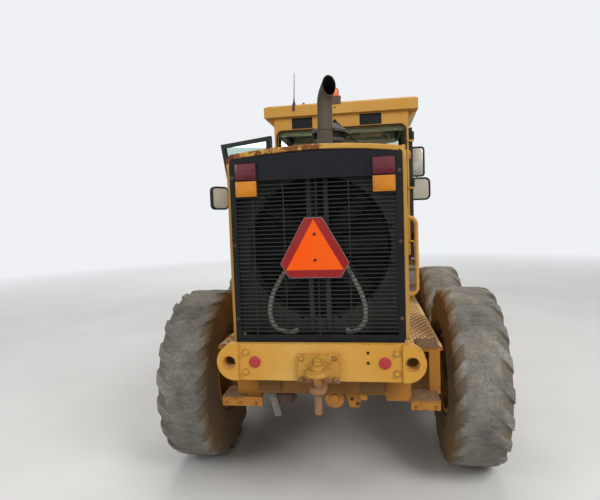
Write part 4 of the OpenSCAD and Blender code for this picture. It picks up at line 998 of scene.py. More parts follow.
def bumper_details():
    """Painted bolts, empty screw holes, and the welded rims of the tie holes."""
    heads = [(x, BUMPER_Y, BUMPER_Z + rise) for x in (-0.452, 0.464) for rise in (-0.061, 0.061)]
    bolts("bumper_bolts", heads, 0.0165, 0.013, BACKWARD, bumper_paint, "rear_body")
    holes = trim("bumper_screw_holes", "rear_body")
    for z in (BUMPER_Z, BUMPER_Z + 0.062):
        holes.lathe([(0, 0), (0.0075, 0), (0.0095, 0.0012), (0.0085, 0.0016), (0.0068, 0.0012),
                     (0.0060, 0.0006), (0, 0.0006)], (0.296, BUMPER_Y - 0.0002, z), -Y, 24)
    holes.done()
    welds = Piece("bumper_welds", bumper_paint, "rear_body", "yellow_paint")
    for side in (-1, 1):
        welds.tube([(side * 0.497, BUMPER_Y - 0.001, BUMPER_Z - 0.108 + 0.009 * k) for k in range(25)],
                   0.0045, 8, [0.0042 + 0.0009 * (k % 2) for k in range(25)])
        welds.tube([(side * 0.556 + x, BUMPER_Y - 0.012, BUMPER_Z + z) for x, z in circle(0.0415, 48, 1)],
                   0.0035, 8)
    welds.done()


SIGN_X, SIGN_Z = -0.008, 1.565
SIGN_FACE = GRILLE_Y - 0.013
# corners of the sign from the middle of its lower edge, and of the orange triangle on it
SIGN_OUTLINE = [(-0.156, 0.0), (0.156, 0.0), (0.207, 0.086), (0.053, 0.360), (-0.053, 0.360),
                (-0.207, 0.086)]
TRIANGLE = [(-0.175, 0.046), (0.175, 0.046), (0.0, 0.352)]


def warning_sign_details():
    """Dark red border strips mitred round the orange triangle, a thin rim and two fasteners."""
    mitres = [middle(SIGN_OUTLINE[5], SIGN_OUTLINE[0]), middle(SIGN_OUTLINE[1], SIGN_OUTLINE[2]),
              middle(SIGN_OUTLINE[3], SIGN_OUTLINE[4])]
    border = Piece("sign_border", sign_red, "rear_body", "sign_orange")
    for k in range(3):
        n = (k + 1) % 3
        strip = [mitres[k], SIGN_OUTLINE[2 * k], SIGN_OUTLINE[2 * k + 1], mitres[n], TRIANGLE[n],
                 TRIANGLE[k]]
        border.prism([(SIGN_Z + z, SIGN_X + x) for x, z in strip], "Y", SIGN_FACE - 0.0012,
                     SIGN_FACE - 0.0001)
    border.done()
    rim = Piece("sign_rim", strap_grey, "rear_body", "sign_orange")
    outer = [(SIGN_X + x, SIGN_FACE + 0.0005, SIGN_Z + z) for x, z in SIGN_OUTLINE]
    for a, b in zip(outer, outer[1:] + outer[:1]):
        rim.rod(a, b, 0.0022, 8, 0.0003)
    rim.done()
    bolts("sign_bolt", [(SIGN_X + 0.004, SIGN_FACE - 0.0012, SIGN_Z + 0.106)], 0.0062, 0.005, BACKWARD,
          black, "rear_body")
    washer = Piece("sign_washer", grip_brown, "rear_body", "bare_steel")
    washer.lathe([(0, 0), (0.010, 0), (0.010, 0.0012), (0.0045, 0.0014), (0.0045, 0.0030), (0, 0.0036)],
                 (SIGN_X + 0.004, SIGN_FACE - 0.0001, SIGN_Z + 0.262), -Y, 24)
    washer.done()


def grille_details():
    """Bolts down both sides of the frame, loose wires behind the bars, and dark panels round the shroud."""
    heads = [(x, GRILLE_Y, z) for z in (1.312, 1.768, 2.181) for x in (-0.501, 0.501)]
    bolts("grille_bolts", heads, 0.0095, 0.007, BACKWARD, stack_metal, "rear_body")
    wires = Piece("grille_wires", hose_black, "rear_body", "black_plastic")
    for a, b, sag in (((-0.46, 1.30), (-0.30, 1.52), 0.02), ((-0.35, 2.02), (-0.22, 1.93), 0.015),
                      ((0.02, 2.15), (-0.015, 2.05), 0.01)):
        mid = ((a[0] + b[0]) / 2, GRILLE_Y + 0.05, (a[1] + b[1]) / 2 - sag)
        wires.tube(curve_points([(a[0], GRILLE_Y + 0.028, a[1]), mid, (b[0], GRILLE_Y + 0.045, b[1])], 14),
                   0.003, 8)
    wires.done()
    panels = trim("radiator_baffles", "rear_body")
    for a, b in both_sides((0.5235, -1.624, 1.190), (0.5255, -1.5305, 2.288)):
        panels.block(a, b, 0.0006)
    panels.block((-0.4995, -1.690, 1.1725), (0.4995, -1.5305, 1.1765), 0.001)
    panels.block((-0.4995, -1.5340, 1.1700), (0.4995, -1.5304, 1.1838), 0.0005)
    panels.block((-0.4995, -1.690, 2.262), (0.4995, -1.5305, 2.266), 0.001)
    panels.done()


# centre lines of the two coolant hoses, from the hub of the shroud down to its lower edge
HOSE_TOP = [(0.048, -1.5524, 1.700), (0.054, -1.578, 1.697), (0.085, -1.600, 1.680)]
HOSE_PATHS = {
    -1: HOSE_TOP + [(0.150, -1.608, 1.642), (0.216, -1.612, 1.582), (0.264, -1.616, 1.507),
                    (0.300, -1.620, 1.431), (0.315, -1.620, 1.363), (0.313, -1.620, 1.303),
                    (0.293, -1.620, 1.250), (0.256, -1.618, 1.219), (0.205, -1.610, 1.204),
                    (0.168, -1.590, 1.200), (0.160, -1.5303, 1.200)],
    1: HOSE_TOP + [(0.135, -1.608, 1.651), (0.180, -1.612, 1.612), (0.216, -1.616, 1.544),
                   (0.251, -1.620, 1.477), (0.279, -1.620, 1.401), (0.287, -1.620, 1.333),
                   (0.279, -1.620, 1.272), (0.253, -1.618, 1.235), (0.215, -1.610, 1.209),
                   (0.178, -1.590, 1.200), (0.170, -1.5303, 1.200)],
}


def ribbed_hoses():
    """Corrugated coolant hoses with a clamp at each end."""
    hoses = Piece("ribbed_hoses", hose_grey, "rear_body", "hose_rubber")
    clamps = Piece("hose_clamps", stack_metal, "rear_body", "bare_steel")
    ribs = 46
    wave = (0.0122, 0.0158, 0.0158, 0.0122)
    for side, path in HOSE_PATHS.items():
        line = curve_points([(side * x, y, z) for x, y, z in path], ribs * 4)
        hoses.tube(line, 0.015, 16, [wave[k % 4] for k in range(len(line))])
        for a, b in ((line[0], line[3]), (line[-1], line[-4])):
            clamps.rod(a, a + (b - a).normalized() * 0.012, 0.0185, 28, 0.001)
    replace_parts(hoses.done(), "cooling_hoses")
    clamps.done()


HITCH = Vector((0, -1.835, 1.0622))


def hitch_details():
    """The pin's knob, its ring, and the plate's bolts."""
    parts = Piece("hitch_pin_head", hitch_paint, "rear_body", "bare_steel")
    parts.lathe([(0, 0), (0.026, 0), (0.027, 0.006), (0.018, 0.011), (0.017, 0.022), (0.022, 0.028),
                 (0.021, 0.037), (0.013, 0.042), (0, 0.043)], HITCH, Z, 28)
    turns = angles(32, 1)
    parts.tube([HITCH + Vector((0.03 * math.cos(t), -0.008 * math.sin(t), 0.017 + 0.03 * math.sin(t)))
                for t in turns], 0.0035, 8)
    parts.done()
    bolts("hitch_bolts", [(x, -1.776, z) for x in (-0.1, 0.1) for z in (0.955, 1.085)], 0.0125, 0.009,
          BACKWARD, hitch_paint, "rear_body")


# punched grips: a short burred ring at every point of a tread
grip_rule, given, gives = group(
    "punched grips", "GeometryNodeTree",
    [("Geometry", GEOMETRY, None), ("Radius", FLOAT, 0.011), ("Height", FLOAT, 0.004),
     ("Finish", MATERIAL, None)],
    [("Geometry", GEOMETRY)])
wall = put(grip_rule, "GeometryNodeCurvePrimitiveCircle", {"Resolution": 12, "Radius": given["Radius"]})
section = put(grip_rule, "GeometryNodeCurvePrimitiveCircle", {"Resolution": 6, "Radius": given["Height"]})
burr = put(grip_rule, "GeometryNodeCurveToMesh", {"Curve": wall.outputs[0],
                                                  "Profile Curve": section.outputs[0]})
spread = put(grip_rule, "GeometryNodeInstanceOnPoints", {"Points": given["Geometry"],
                                                         "Instance": burr.outputs[0]})
real = put(grip_rule, "GeometryNodeRealizeInstances", {0: spread.outputs[0]})
ended(grip_rule, real.outputs[0], given, gives)

STEP_FACE_Y = -1.640
# treads with grips: x0, x1, y0, y1, top
REAR_TREADS = [(-0.650, -0.500, STEP_FACE_Y, -1.455, 0.787), (0.550, 0.727, STEP_FACE_Y, -1.455, 0.787),
               (0.610, 0.750, -1.468, -1.240, 1.066)]
WALKWAYS = [(0.522, 0.800, -1.250, 0.900, 1.010), (-0.800, -0.522, -1.250, 0.900, 1.010)]
LADDER_TREADS = [(side + 0.006, side + 0.352, 2.004, 2.136, z) for side in (0.610, -0.968)
                 for z in (0.727, 0.952, 1.177)]


def grips(name, treads, body, pitch, finish):
    """Burred holes in staggered rows on the treads."""
    points = []
    for x0, x1, y0, y1, top in treads:
        rows = int((y1 - y0) / pitch)
        for j in range(rows):
            across = int((x1 - x0) / pitch) - j % 2
            for i in range(across):
                x = (x0 + x1) / 2 + (i - (across - 1) / 2) * pitch
                points.append((x, y0 + (j + 0.6) * (y1 - y0) / rows, top))
    data = baked(grip_rule, points_mesh(points), {"Radius": pitch * 0.30, "Height": 0.0038,
                                                  "Finish": finish})
    data.transform(SHIFT)
    finished(name, data, finish, body)


def step_details():
    """Grips on every tread, turned down teeth at the rear steps' edges, and bolts on their faces."""
    grips("rear_step_grips", REAR_TREADS, "rear_body", 0.030, bare)
    grips("walkway_grips", WALKWAYS, "rear_body", 0.052, low_yellow)
    grips("ladder_grips", LADDER_TREADS, "front_body", 0.034, bare)
    teeth = Piece("step_teeth", bare, "rear_body", "bare_steel")
    for x0, x1, y0, _, top in REAR_TREADS:
        for k in range(int((x1 - x0) / 0.016)):
            x = x0 + 0.008 + k * 0.016
            teeth.prism([(x - 0.005, top - 0.011), (x + 0.005, top - 0.011), (x, top + 0.005)], "Y", 0,
                        0.002, 0, Matrix.Translation((0, y0 - 0.002, 0)) @ SWAP)
    teeth.done()
    heads = [(x, STEP_FACE_Y, 0.744) for x in (0.580, 0.700, -0.625, -0.530, -0.430)]
    bolts("step_bolts", heads, 0.008, 0.006, BACKWARD, step_paint, "rear_body")


edge_rust = weathered("rusted folded edge", YELLOW, YELLOW_FADED, 0.2, 0.2, 0.9, grain=26.0, smooth=0.4,
                      local=kink, rust_tone=rgb(140, 82, 44))

# stretch of the hood's rear edge that is bent: place across, how far it has sunk, how far it stands out
HOOD_EDGE = [(-0.505, 0.004, 0.000), (-0.44, 0.006, 0.003), (-0.37, 0.009, 0.001), (-0.30, 0.008, 0.005),
             (-0.22, 0.012, 0.002), (-0.14, 0.010, 0.006), (-0.07, 0.004, 0.002), (0.0, 0.001, 0.003),
             (0.10, 0.000, 0.000)]


def hood_top_at(x):
    """Height of the hood's top surface."""
    share = x / (HOOD_X - HOOD_SHOULDER)
    return HOOD_TOP + HOOD_CROWN * (1 - share * share)


LIP_TALL = 0.034


def lip(piece, stations):
    """A folded flange through stations: place across, height of its top, how far it stands out."""
    part = bmesh.new()
    rings = []
    for x, top, out in stations:
        rear, front, low = -1.660 - out, -1.6545, top - LIP_TALL
        section = ((rear, top - 0.005), (rear + 0.004, top), (front, top), (front, low),
                   (rear + 0.004, low), (rear, low + 0.004))
        rings.append([part.verts.new((x, y, z)) for y, z in section])
    for a, b in zip(rings, rings[1:]):
        for k in range(6):
            part.faces.new((a[k], a[(k + 1) % 6], b[(k + 1) % 6], b[k]))
    part.faces.new(rings[0])
    part.faces.new(rings[-1][::-1])
    piece.take(part)


def hood_edge():
    """The folded rear edge of the hood's top, bent and rusted on the left, and a latch on its right."""
    edge = Piece("hood_edge", edge_rust, "rear_body", "yellow_paint")
    dents = random.Random(7)
    bent = curve_points(HOOD_EDGE, 60)
    lip(edge, [(x, hood_top_at(x) + 0.0006 - sunk * 0.25, 0.6 * out + dents.uniform(0, 0.0012))
               for x, sunk, out in bent])
    lip(edge, [(x, hood_top_at(x) + 0.0006, 0.0) for x in (0.10 + 0.405 * k / 24 for k in range(25))])
    edge.done()
    latch = Piece("hood_latch", hood_yellow, "rear_body", "yellow_paint")
    latch.tube(curve_points([(0.5505, -1.640, 2.300), (0.566, -1.640, 2.298), (0.570, -1.640, 2.276),
                             (0.566, -1.640, 2.254), (0.5505, -1.640, 2.252)], 20), 0.0045, 10)
    latch.lathe([(0, 0), (0.012, 0), (0.014, 0.006), (0.009, 0.014), (0, 0.016)],
                (0.532, -1.635, hood_top_at(0.5) - 0.012), Z, 20)
    latch.done()


def under_rear():
    """A webbing strap, a brown box, a round valve body and a bracket under the rear cross member."""
    strap = Piece("hanging_strap", strap_grey, "rear_body", "rusty_steel")
    line = curve_points([(-0.335, -1.620, 0.900), (-0.322, -1.634, 0.820), (-0.300, -1.642, 0.740),
                         (-0.284, -1.640, 0.665)], 16)
    across = Vector((0.9, 0.43, 0)).normalized()
    for a, b in zip(line, line[1:]):
        flat = (b - a).normalized()
        turn = Matrix.Translation(a) @ Matrix((across, flat.cross(across), flat)).transposed().to_4x4()
        strap.block((-0.022, -0.0017, -0.001), (0.022, 0.0017, (b - a).length + 0.001), 0.0006, turn)
    strap.done()
    box = Piece("battery_box", grip_brown, "rear_body", "rusty_steel")
    box.block((-0.300, -1.620, 0.735), (-0.190, -1.500, 0.8195), 0.006)
    box.block((-0.304, -1.624, 0.790), (-0.186, -1.496, 0.800), 0.003)
    box.lathe([(0, 0), (0.006, 0), (0.005, 0.050), (0, 0.055)], (-0.165, -1.625, 0.8305), -Z, 12)
    box.done()
    valve = Piece("drain_valve", low_yellow, "rear_body", "yellow_paint")
    valve.lathe([(0, 0), (0.030, 0), (0.032, 0.008), (0.052, 0.010), (0.062, 0.020), (0.064, 0.050),
                 (0.058, 0.110), (0, 0.112)], (0.082, -1.665, 0.790), Y, 40)
    valve.block((0.060, -1.655, 0.800), (0.104, -1.600, 0.8305), 0.004)
    valve.done()
    hanger = Piece("cable_bracket", low_yellow, "rear_body", "yellow_paint")
    cheek = [(0.150, 0.8305), (0.255, 0.8305), (0.235, 0.740), (0.175, 0.735)]
    for y in (-1.650, -1.620):
        hanger.prism(cheek, "Y", y, y + 0.008, 0.002, SWAP)
    hanger.block((0.175, -1.650, 0.735), (0.235, -1.612, 0.741), 0.002)
    hanger.block((0.235, -1.668, 0.790), (0.285, -1.640, 0.8305), 0.004)
    hanger.done()
    bolts("bracket_bolts", [(0.190, -1.650, 0.790), (0.225, -1.650, 0.760)], 0.009, 0.006, BACKWARD,
          grip_brown, "rear_body")


# the stack: its foot, its lean to the right for each metre, where its bend begins, where its mouth faces
STACK_FOOT = Vector((-0.053, -0.300, 2.372))
STACK_LEAN = 0.0155
STACK_BEND_Z = 2.915
STACK_HEADING = Vector((math.sin(math.radians(32)), -math.cos(math.radians(32)), 0))
STACK_ANGLE = math.radians(50)
STACK_BEND_R, STACK_TIP = 0.140, 0.058
STACK_R, STACK_BORE = 0.067, 0.062


def stack_rings(part, radius, sides=48):
    """Rings of the pipe's wall from foot to mouth; the mouth is cut upright."""
    across = STACK_HEADING.cross(Z)
    rise = STACK_BEND_Z - STACK_FOOT.z
    spine = [(STACK_FOOT + Vector((STACK_LEAN, 0, 1)) * rise * k / 6, 0.0) for k in range(7)]
    start = spine[-1][0]
    for k in range(1, 11):
        a = STACK_ANGLE * k / 10
        spine.append((start + STACK_BEND_R * ((1 - math.cos(a)) * STACK_HEADING + math.sin(a) * Z), a))
    ahead = math.sin(STACK_ANGLE) * STACK_HEADING + math.cos(STACK_ANGLE) * Z
    spine.append((spine[-1][0] + ahead * STACK_TIP, STACK_ANGLE))
    rings = []
    for k, (middle_of, a) in enumerate(spine):
        along = math.sin(a) * STACK_HEADING + math.cos(a) * Z
        outward = along.cross(across)
        ring = [middle_of + radius * (math.cos(t) * across + math.sin(t) * outward)
                for t in angles(sides)]
        if k == len(spine) - 1:
            ring = [v + along * ((middle_of - v).dot(STACK_HEADING) / along.dot(STACK_HEADING))
                    for v in ring]
        rings.append([part.verts.new(v) for v in ring])
    return rings


def stack_wall(name, finish, outer, inner):
    """A hollow wall that follows the stack from foot to mouth."""
    wall = Piece(name, finish, "rear_body", "rusty_steel")
    part = bmesh.new()
    outside, inside = stack_rings(part, outer), stack_rings(part, inner)
    loops = outside + inside[::-1]
    for a, b in zip(loops, loops[1:] + loops[:1]):
        for k in range(len(a)):
            n = (k + 1) % len(a)
            part.faces.new((a[k], a[n], b[n], b[k]))
    wall.take(part)
    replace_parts(wall.done(), "exhaust_stack")


def stack_details():
    """The bent pipe and its soot, a clamp with its bolt, and the rain collar on the hood."""
    stack_wall("stack_pipe", stack_metal, STACK_R, STACK_BORE)
    stack_wall("stack_soot", soot, STACK_BORE - 0.0003, STACK_BORE - 0.0018)
    clamp = Piece("stack_clamp", stack_metal, "rear_body", "rusty_steel")
    at = STACK_FOOT + Vector((STACK_LEAN, 0, 1)) * (2.700 - STACK_FOOT.z)
    clamp.lathe([(0.066, -0.012), (0.0705, -0.012), (0.0715, -0.004), (0.0715, 0.004), (0.0705, 0.012),
                 (0.066, 0.012)], at, Z, 40)
    for side in (-1, 1):
        clamp.block((at.x + 0.068, at.y - 0.008 + side * 0.010, at.z - 0.012),
                    (at.x + 0.092, at.y - 0.004 + side * 0.010, at.z + 0.012), 0.001)
    clamp.rod(at + Vector((0.081, -0.030, 0)), at + Vector((0.081, 0.022, 0)), 0.004, 10)
    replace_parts(clamp.done(), "exhaust_stack")
    collar = Piece("stack_collar", stack_metal, "rear_body", "rusty_steel")
    collar.lathe([(0.068, 0.0), (0.108, 0.0), (0.106, 0.006), (0.086, 0.012), (0.076, 0.034),
                  (0.068, 0.036)], (STACK_FOOT.x, STACK_FOOT.y, hood_top_at(0.05) + 0.0005), Z, 40)
    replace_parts(collar.done(), "exhaust_stack")


AIR = Vector((-0.072, 0.500, 0))
# sections of the air cleaner, as radius and height: its pipe, its bowl, and its hat
AIR_PIPE = [(0, 2.200), (0.078, 2.200), (0.078, 2.3695), (0.115, 2.3695), (0.114, 2.379), (0.080, 2.383),
            (0.078, 2.440), (0.086, 2.442), (0.086, 2.466), (0.078, 2.468), (0.078, 2.612), (0, 2.612)]
AIR_BOWL = [(0, 2.606), (0.090, 2.606), (0.134, 2.628), (0.154, 2.668), (0.157, 2.700), (0.157, 2.797),
            (0.150, 2.805), (0, 2.805)]
AIR_HAT = [(0, 2.8055), (0.150, 2.8055), (0.184, 2.797), (0.1885, 2.803), (0.1885, 2.822), (0.180, 2.832),
           (0.110, 2.878), (0.078, 2.900), (0.040, 2.911), (0, 2.914)]


def precleaner_details():
    """The air cleaner's pipe, its dark bowl with upright vanes, and its faded hat with a wing nut."""
    dark = Piece("precleaner_bowl", black_plastic, "rear_body", "grey_plastic")
    dark.lathe(AIR_PIPE, AIR, Z, 48)
    dark.lathe(AIR_BOWL, AIR, Z, 64)
    for a in angles(36):
        turn = Matrix.Translation(AIR + Vector((0, 0, 2.770))) @ Matrix.Rotation(a, 4, "Z")
        dark.block((0.150, -0.0015, -0.025), (0.171, 0.0015, 0.026), 0.0006,
                   turn @ Matrix.Rotation(0.3, 4, "X"))
    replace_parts(dark.done(), "precleaner")
    hat = Piece("precleaner_hat", grey_plastic, "rear_body", "grey_plastic")
    hat.lathe(AIR_HAT, AIR, Z, 64)
    hat.lathe([(0.1568, 2.712), (0.1600, 2.716), (0.1600, 2.734), (0.1568, 2.738)], AIR, Z, 64)
    hat.lathe([(0, 0), (0.020, 0), (0.018, 0.008), (0.007, 0.010), (0.006, 0.022), (0, 0.024)],
              AIR + Vector((0, 0, 2.9135)), Z, 20)
    hat.block((-0.097, 0.4975, 2.925), (-0.047, 0.5025, 2.936), 0.002)
    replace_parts(hat.done(), "precleaner")


ROOF_TOP = 3.290
BEACON = Vector((-0.050, 1.206, ROOF_TOP + 0.0602))


def beacon_details():
    """An amber dome on a rusty bracket, a whip aerial with its spring, and a cable stub."""
    dome = Piece("beacon_dome", beacon_amber, "front_body", "amber_lens")
    dome.lathe([(0, 0), (0.058, 0), (0.058, 0.015), (0.047, 0.018), (0.047, 0.026), (0.044, 0.081),
                (0.041, 0.096), (0.031, 0.106), (0.013, 0.1095), (0, 0.110)], BEACON, Z, 40)
    for a in angles(18):
        turn = Matrix.Translation(BEACON) @ Matrix.Rotation(a, 4, "Z")
        dome.block((0.0425, -0.0014, 0.026), (0.0476, 0.0014, 0.081), 0.0005, turn)
    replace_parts(dome.done(), "roof_beacon")
    bracket = Piece("beacon_bracket", grip_brown, "front_body", "rusty_steel")
    bracket.block((-0.112, 1.1440, ROOF_TOP - 0.036), (0.020, 1.1497, ROOF_TOP + 0.056), 0.002)
    bracket.block((-0.112, 1.1440, ROOF_TOP + 0.050), (0.020, 1.2680, ROOF_TOP + 0.0600), 0.002)
    for x in (-0.112, 0.014):
        bracket.prism([(1.149, ROOF_TOP + 0.002), (1.149, ROOF_TOP + 0.052), (1.215, ROOF_TOP + 0.052)],
                      "X", x, x + 0.006, 0.001)
    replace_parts(bracket.done(), "roof_beacon")
    bolts("beacon_bolts", [(-0.052, 1.1500, ROOF_TOP - 0.072), (-0.092, 1.1440, ROOF_TOP - 0.018),
                           (-0.028, 1.1440, ROOF_TOP - 0.018)],
          0.008, 0.007, BACKWARD, grip_brown, "front_body")
    aerial = Piece("aerial", hose_black, "front_body", "black_plastic")
    foot = Vector((-0.545, 1.200, ROOF_TOP + 0.030))
    lean = math.radians(2.4)
    tip = foot + Vector((math.sin(lean), 0, math.cos(lean))) * 0.345
    aerial.tube([foot.lerp(tip, k / 16) for k in range(17)], 0.003, 8,
                [0.0060 - 0.0028 * k / 16 for k in range(17)])
    coil = angles(10, 51)
    aerial.tube([foot + Vector((0.0085 * math.cos(t), 0.0085 * math.sin(t), 0.001 + t * 0.0011))
                 for t in coil], 0.0016, 6)
    aerial.lathe([(0, 0), (0.004, 0), (0.0035, 0.004), (0, 0.0045)], tip, Z, 12)
    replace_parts(aerial.done(), "roof_beacon")
    mount = Piece("aerial_mount", grip_brown, "front_body", "rusty_steel")
    mount.lathe([(0, 0), (0.022, 0), (0.022, 0.004), (0.015, 0.010), (0.014, 0.036), (0.010, 0.040),
                 (0, 0.040)], (-0.545, 1.200, ROOF_TOP + 0.0005), Z, 24)
    mount.lathe([(0, 0), (0.019, 0), (0.018, 0.004), (0.0125, 0.007), (0.012, 0.020), (0, 0.0225)],
                (-0.430, 1.210, ROOF_TOP + 0.0005), Z, 24)
    mount.block((-0.560, 1.1445, ROOF_TOP - 0.085), (-0.530, 1.1498, ROOF_TOP - 0.002), 0.0015)
    mount.block((-0.560, 1.1445, ROOF_TOP + 0.0003), (-0.530, 1.205, ROOF_TOP + 0.0045), 0.0015)
    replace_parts(mount.done(), "roof_beacon")
    seam = Piece("roof_seam", yellow, "front_body", "yellow_paint")
    seam.tube([(-0.905, 1.1495, 3.1475), (0.905, 1.1495, 3.1475)], 0.0022, 8)
    seam.done()


def rounded(x0, x1, z0, z1, r, steps=8):
    """Outline of a rectangle with round corners, as x and z."""
    out = []
    for cx, cz, start in ((x1 - r, z1 - r, 0), (x0 + r, z1 - r, 90), (x0 + r, z0 + r, 180),
                          (x1 - r, z0 + r, 270)):
        for k in range(steps + 1):
            a = math.radians(start + 90 * k / steps)
            out.append((cx + r * math.cos(a), cz + r * math.sin(a)))
    return out


def hoop(piece, outline, y, radius, sides=8):
    """A round seal or rim that follows an outline given as x and z."""
    line = [(x, y, z) for x, z in outline]
    piece.tube(line + line[:1], radius, sides)


VENTS = ((-0.576, -0.335), (0.238, 0.486))


def rear_window_details():
    """The rubber gasket, the wiper, and the frames and slats of the air vents."""
    seal = trim("rear_window_seal", "front_body")
    hoop(seal, rounded(-0.770, 0.770, 1.990, 2.988, 0.070), 1.1965, 0.0080)
    seal.done()
    wiper = trim("rear_wiper", "front_body")
    pivot, elbow = Vector((-0.060, 1.184, 3.066)), Vector((0.030, 1.176, 2.973))
    end = Vector((0.262, 1.180, 2.733))
    wiper.lathe([(0, 0), (0.022, 0), (0.022, 0.010), (0.013, 0.014), (0.012, 0.018), (0, 0.020)],
                (-0.060, 1.1998, 3.066), -Y, 24)
    wiper.rod(pivot, elbow, 0.0115, 12)
    wiper.rod(elbow, end, 0.0095, 12)
    blade = (end - elbow).normalized()
    out = Vector((0, 0.001, 0))
    for k in (-1, 0, 1):
        wiper.rod(end + blade * (0.11 * k) + out, end + blade * (0.11 * k) + out * 9, 0.005, 10)
    wiper.rod(end - blade * 0.20 + out * 8, end + blade * 0.20 + out * 8, 0.0044, 8)
    wiper.done()
    frames = trim("vent_frames", "front_body")
    for x0, x1 in VENTS:
        frames.frame_of((x0, 1.1995, 3.008), (x1, 1.1995, 3.128), 0.0045)
    frames.done()
    screens = trim("vent_screens", "front_body")
    for x0, x1 in VENTS:
        screens.block((x0 + 0.001, 1.2060, 3.009), (x1 - 0.001, 1.2085, 3.127), 0.0008)
        for k in range(15):
            screens.block((x0 + 0.004, 1.2035, 3.0135 + k * 0.0076),
                          (x1 - 0.004, 1.2065, 3.0165 + k * 0.0076), 0.0006)
    screens.done()


lining_green = plastic("cab lining", rgb(134, 136, 112), rgb(156, 150, 122), 0.8, 0.4, 120.0)
lining_pale = plastic("pale cab trim", rgb(206, 200, 172), rgb(214, 206, 180), 0.6)
beige_plastic = plastic("beige plastic", rgb(176, 150, 120), rgb(190, 168, 140), 0.6)


def cab_inside():
    """What shows through the rear window: the lining, a shelf, and a beige unit on its brackets."""
    lining = Piece("cab_lining", lining_green, "front_body", "grey_plastic")
    lining.block((-0.745, 1.2465, 2.922), (0.745, 1.2497, 2.9765), 0.001)
    lining.block((-0.705, 1.292, 3.0300), (0.705, 2.080, 3.0398), 0.003)
    lining.done()
    shelf = Piece("cab_shelf", lining_pale, "front_body", "grey_plastic")
    shelf.block((-0.690, 2.030, 2.905), (0.690, 2.085, 3.029), 0.010)
    shelf.block((-0.690, 1.960, 2.930), (0.690, 2.032, 2.950), 0.004)
    shelf.done()
    unit = Piece("cab_fan_unit", beige_plastic, "front_body", "grey_plastic")
    unit.block((0.235, 1.380, 2.905), (0.500, 1.500, 2.985), 0.018)
    unit.block((0.260, 1.370, 2.915), (0.340, 1.384, 2.965), 0.005)
    unit.tube(curve_points([(0.500, 1.430, 2.940), (0.540, 1.430, 2.925), (0.575, 1.430, 2.890),
                            (0.590, 1.430, 2.860)], 16), 0.010, 10)
    for x in (0.262, 0.455):
        unit.block((x, 1.420, 2.980), (x + 0.012, 1.450, 3.0305), 0.001)
    unit.done()


HINGE = Vector((0.846, 1.194, 0))
dusty_mirror = plastic("dusty mirror glass", rgb(196, 186, 166), rgb(172, 158, 134), 0.3, 0.05, coat=0.6)
DOOR_BACK = 1.212
MIRROR_X, MIRROR_Y = 0.990, 1.992
DOORS = (("left", -1, 60), ("right", 1, 0))


def door_turn(side, angle):
    """Puts what is drawn on the closed right door on a door of that side, open by angle in degrees."""
    swing = Matrix.Rotation(-math.radians(angle), 4, "Z")
    sweep = Matrix.Translation(HINGE) @ swing @ Matrix.Translation(-HINGE)
    return SHIFT @ (sweep if side > 0 else Matrix.Scale(-1, 4, X) @ sweep)


def mirror_set(name, turn, body, x0, x1, z0, z1, r):
    """A mirror's rim and glass on the rear face of its plate."""
    rim = trim(name + "_rim", body, turn)
    hoop(rim, rounded(x0 + 0.009, x1 - 0.009, z0 + 0.009, z1 - 0.009, r), MIRROR_Y - 0.002, 0.0120, 10)
    rim.done()
    face = Piece(name + "_glass", mirror_glass if r < 0.05 else dusty_mirror, body, "tinted_glass", turn)
    line = rounded(x0 + 0.010, x1 - 0.010, z0 + 0.010, z1 - 0.010, r - 0.006)
    face.prism([(z, x) for x, z in line], "Y", MIRROR_Y - 0.0035, MIRROR_Y - 0.0002, 0.0006)
    face.done()


def door_details():
    """Seals, hinge bolts, lock and mirrors of both cab doors."""
    for word, side, angle in DOORS:
        body, turn = "cab_door_" + word, door_turn(side, angle)
        seal = trim("door_seal_" + word, body, turn)
        corners = [Vector((0.843, y, z)) for y, z in ((1.274, 1.700), (1.775, 1.700), (2.025, 2.890),
                                                      (1.274, 2.890))]
        for a, b in zip(corners, corners[1:] + corners[:1]):
            seal.rod(a, b, 0.0065, 10)
        seal.done()
        lock = Piece("door_lock_" + word, stack_metal, body, "bare_steel", turn)
        lock.lathe([(0, 0), (0.022, 0), (0.022, 0.005), (0.013, 0.008), (0.012, 0.012), (0, 0.013)],
                   (0.8422, 1.735, 1.560), X, 28)
        lock.done()
        spots = [(0.8522, DOOR_BACK + dy, z + dz) for z in (1.620, 2.250, 2.800) for dy in (0.012, 0.036)
                 for dz in (0.022, 0.068)]
        bolts("door_hinge_bolts_" + word, spots, 0.0065, 0.005, RIGHTWARD, black, body, turn)
        mid_z = 2.262 if side > 0 else 2.222
        mirror_set("mirror_round_" + word, turn, body, MIRROR_X - 0.145, MIRROR_X + 0.145, mid_z - 0.150,
                   mid_z + 0.150, 0.062)
        if side > 0:
            mirror_set("mirror_long_" + word, turn, body, MIRROR_X - 0.124, MIRROR_X + 0.076, 2.424, 2.820,
                       0.036)


LAMP_Y = 5.912
LAMP_Z = 2.105


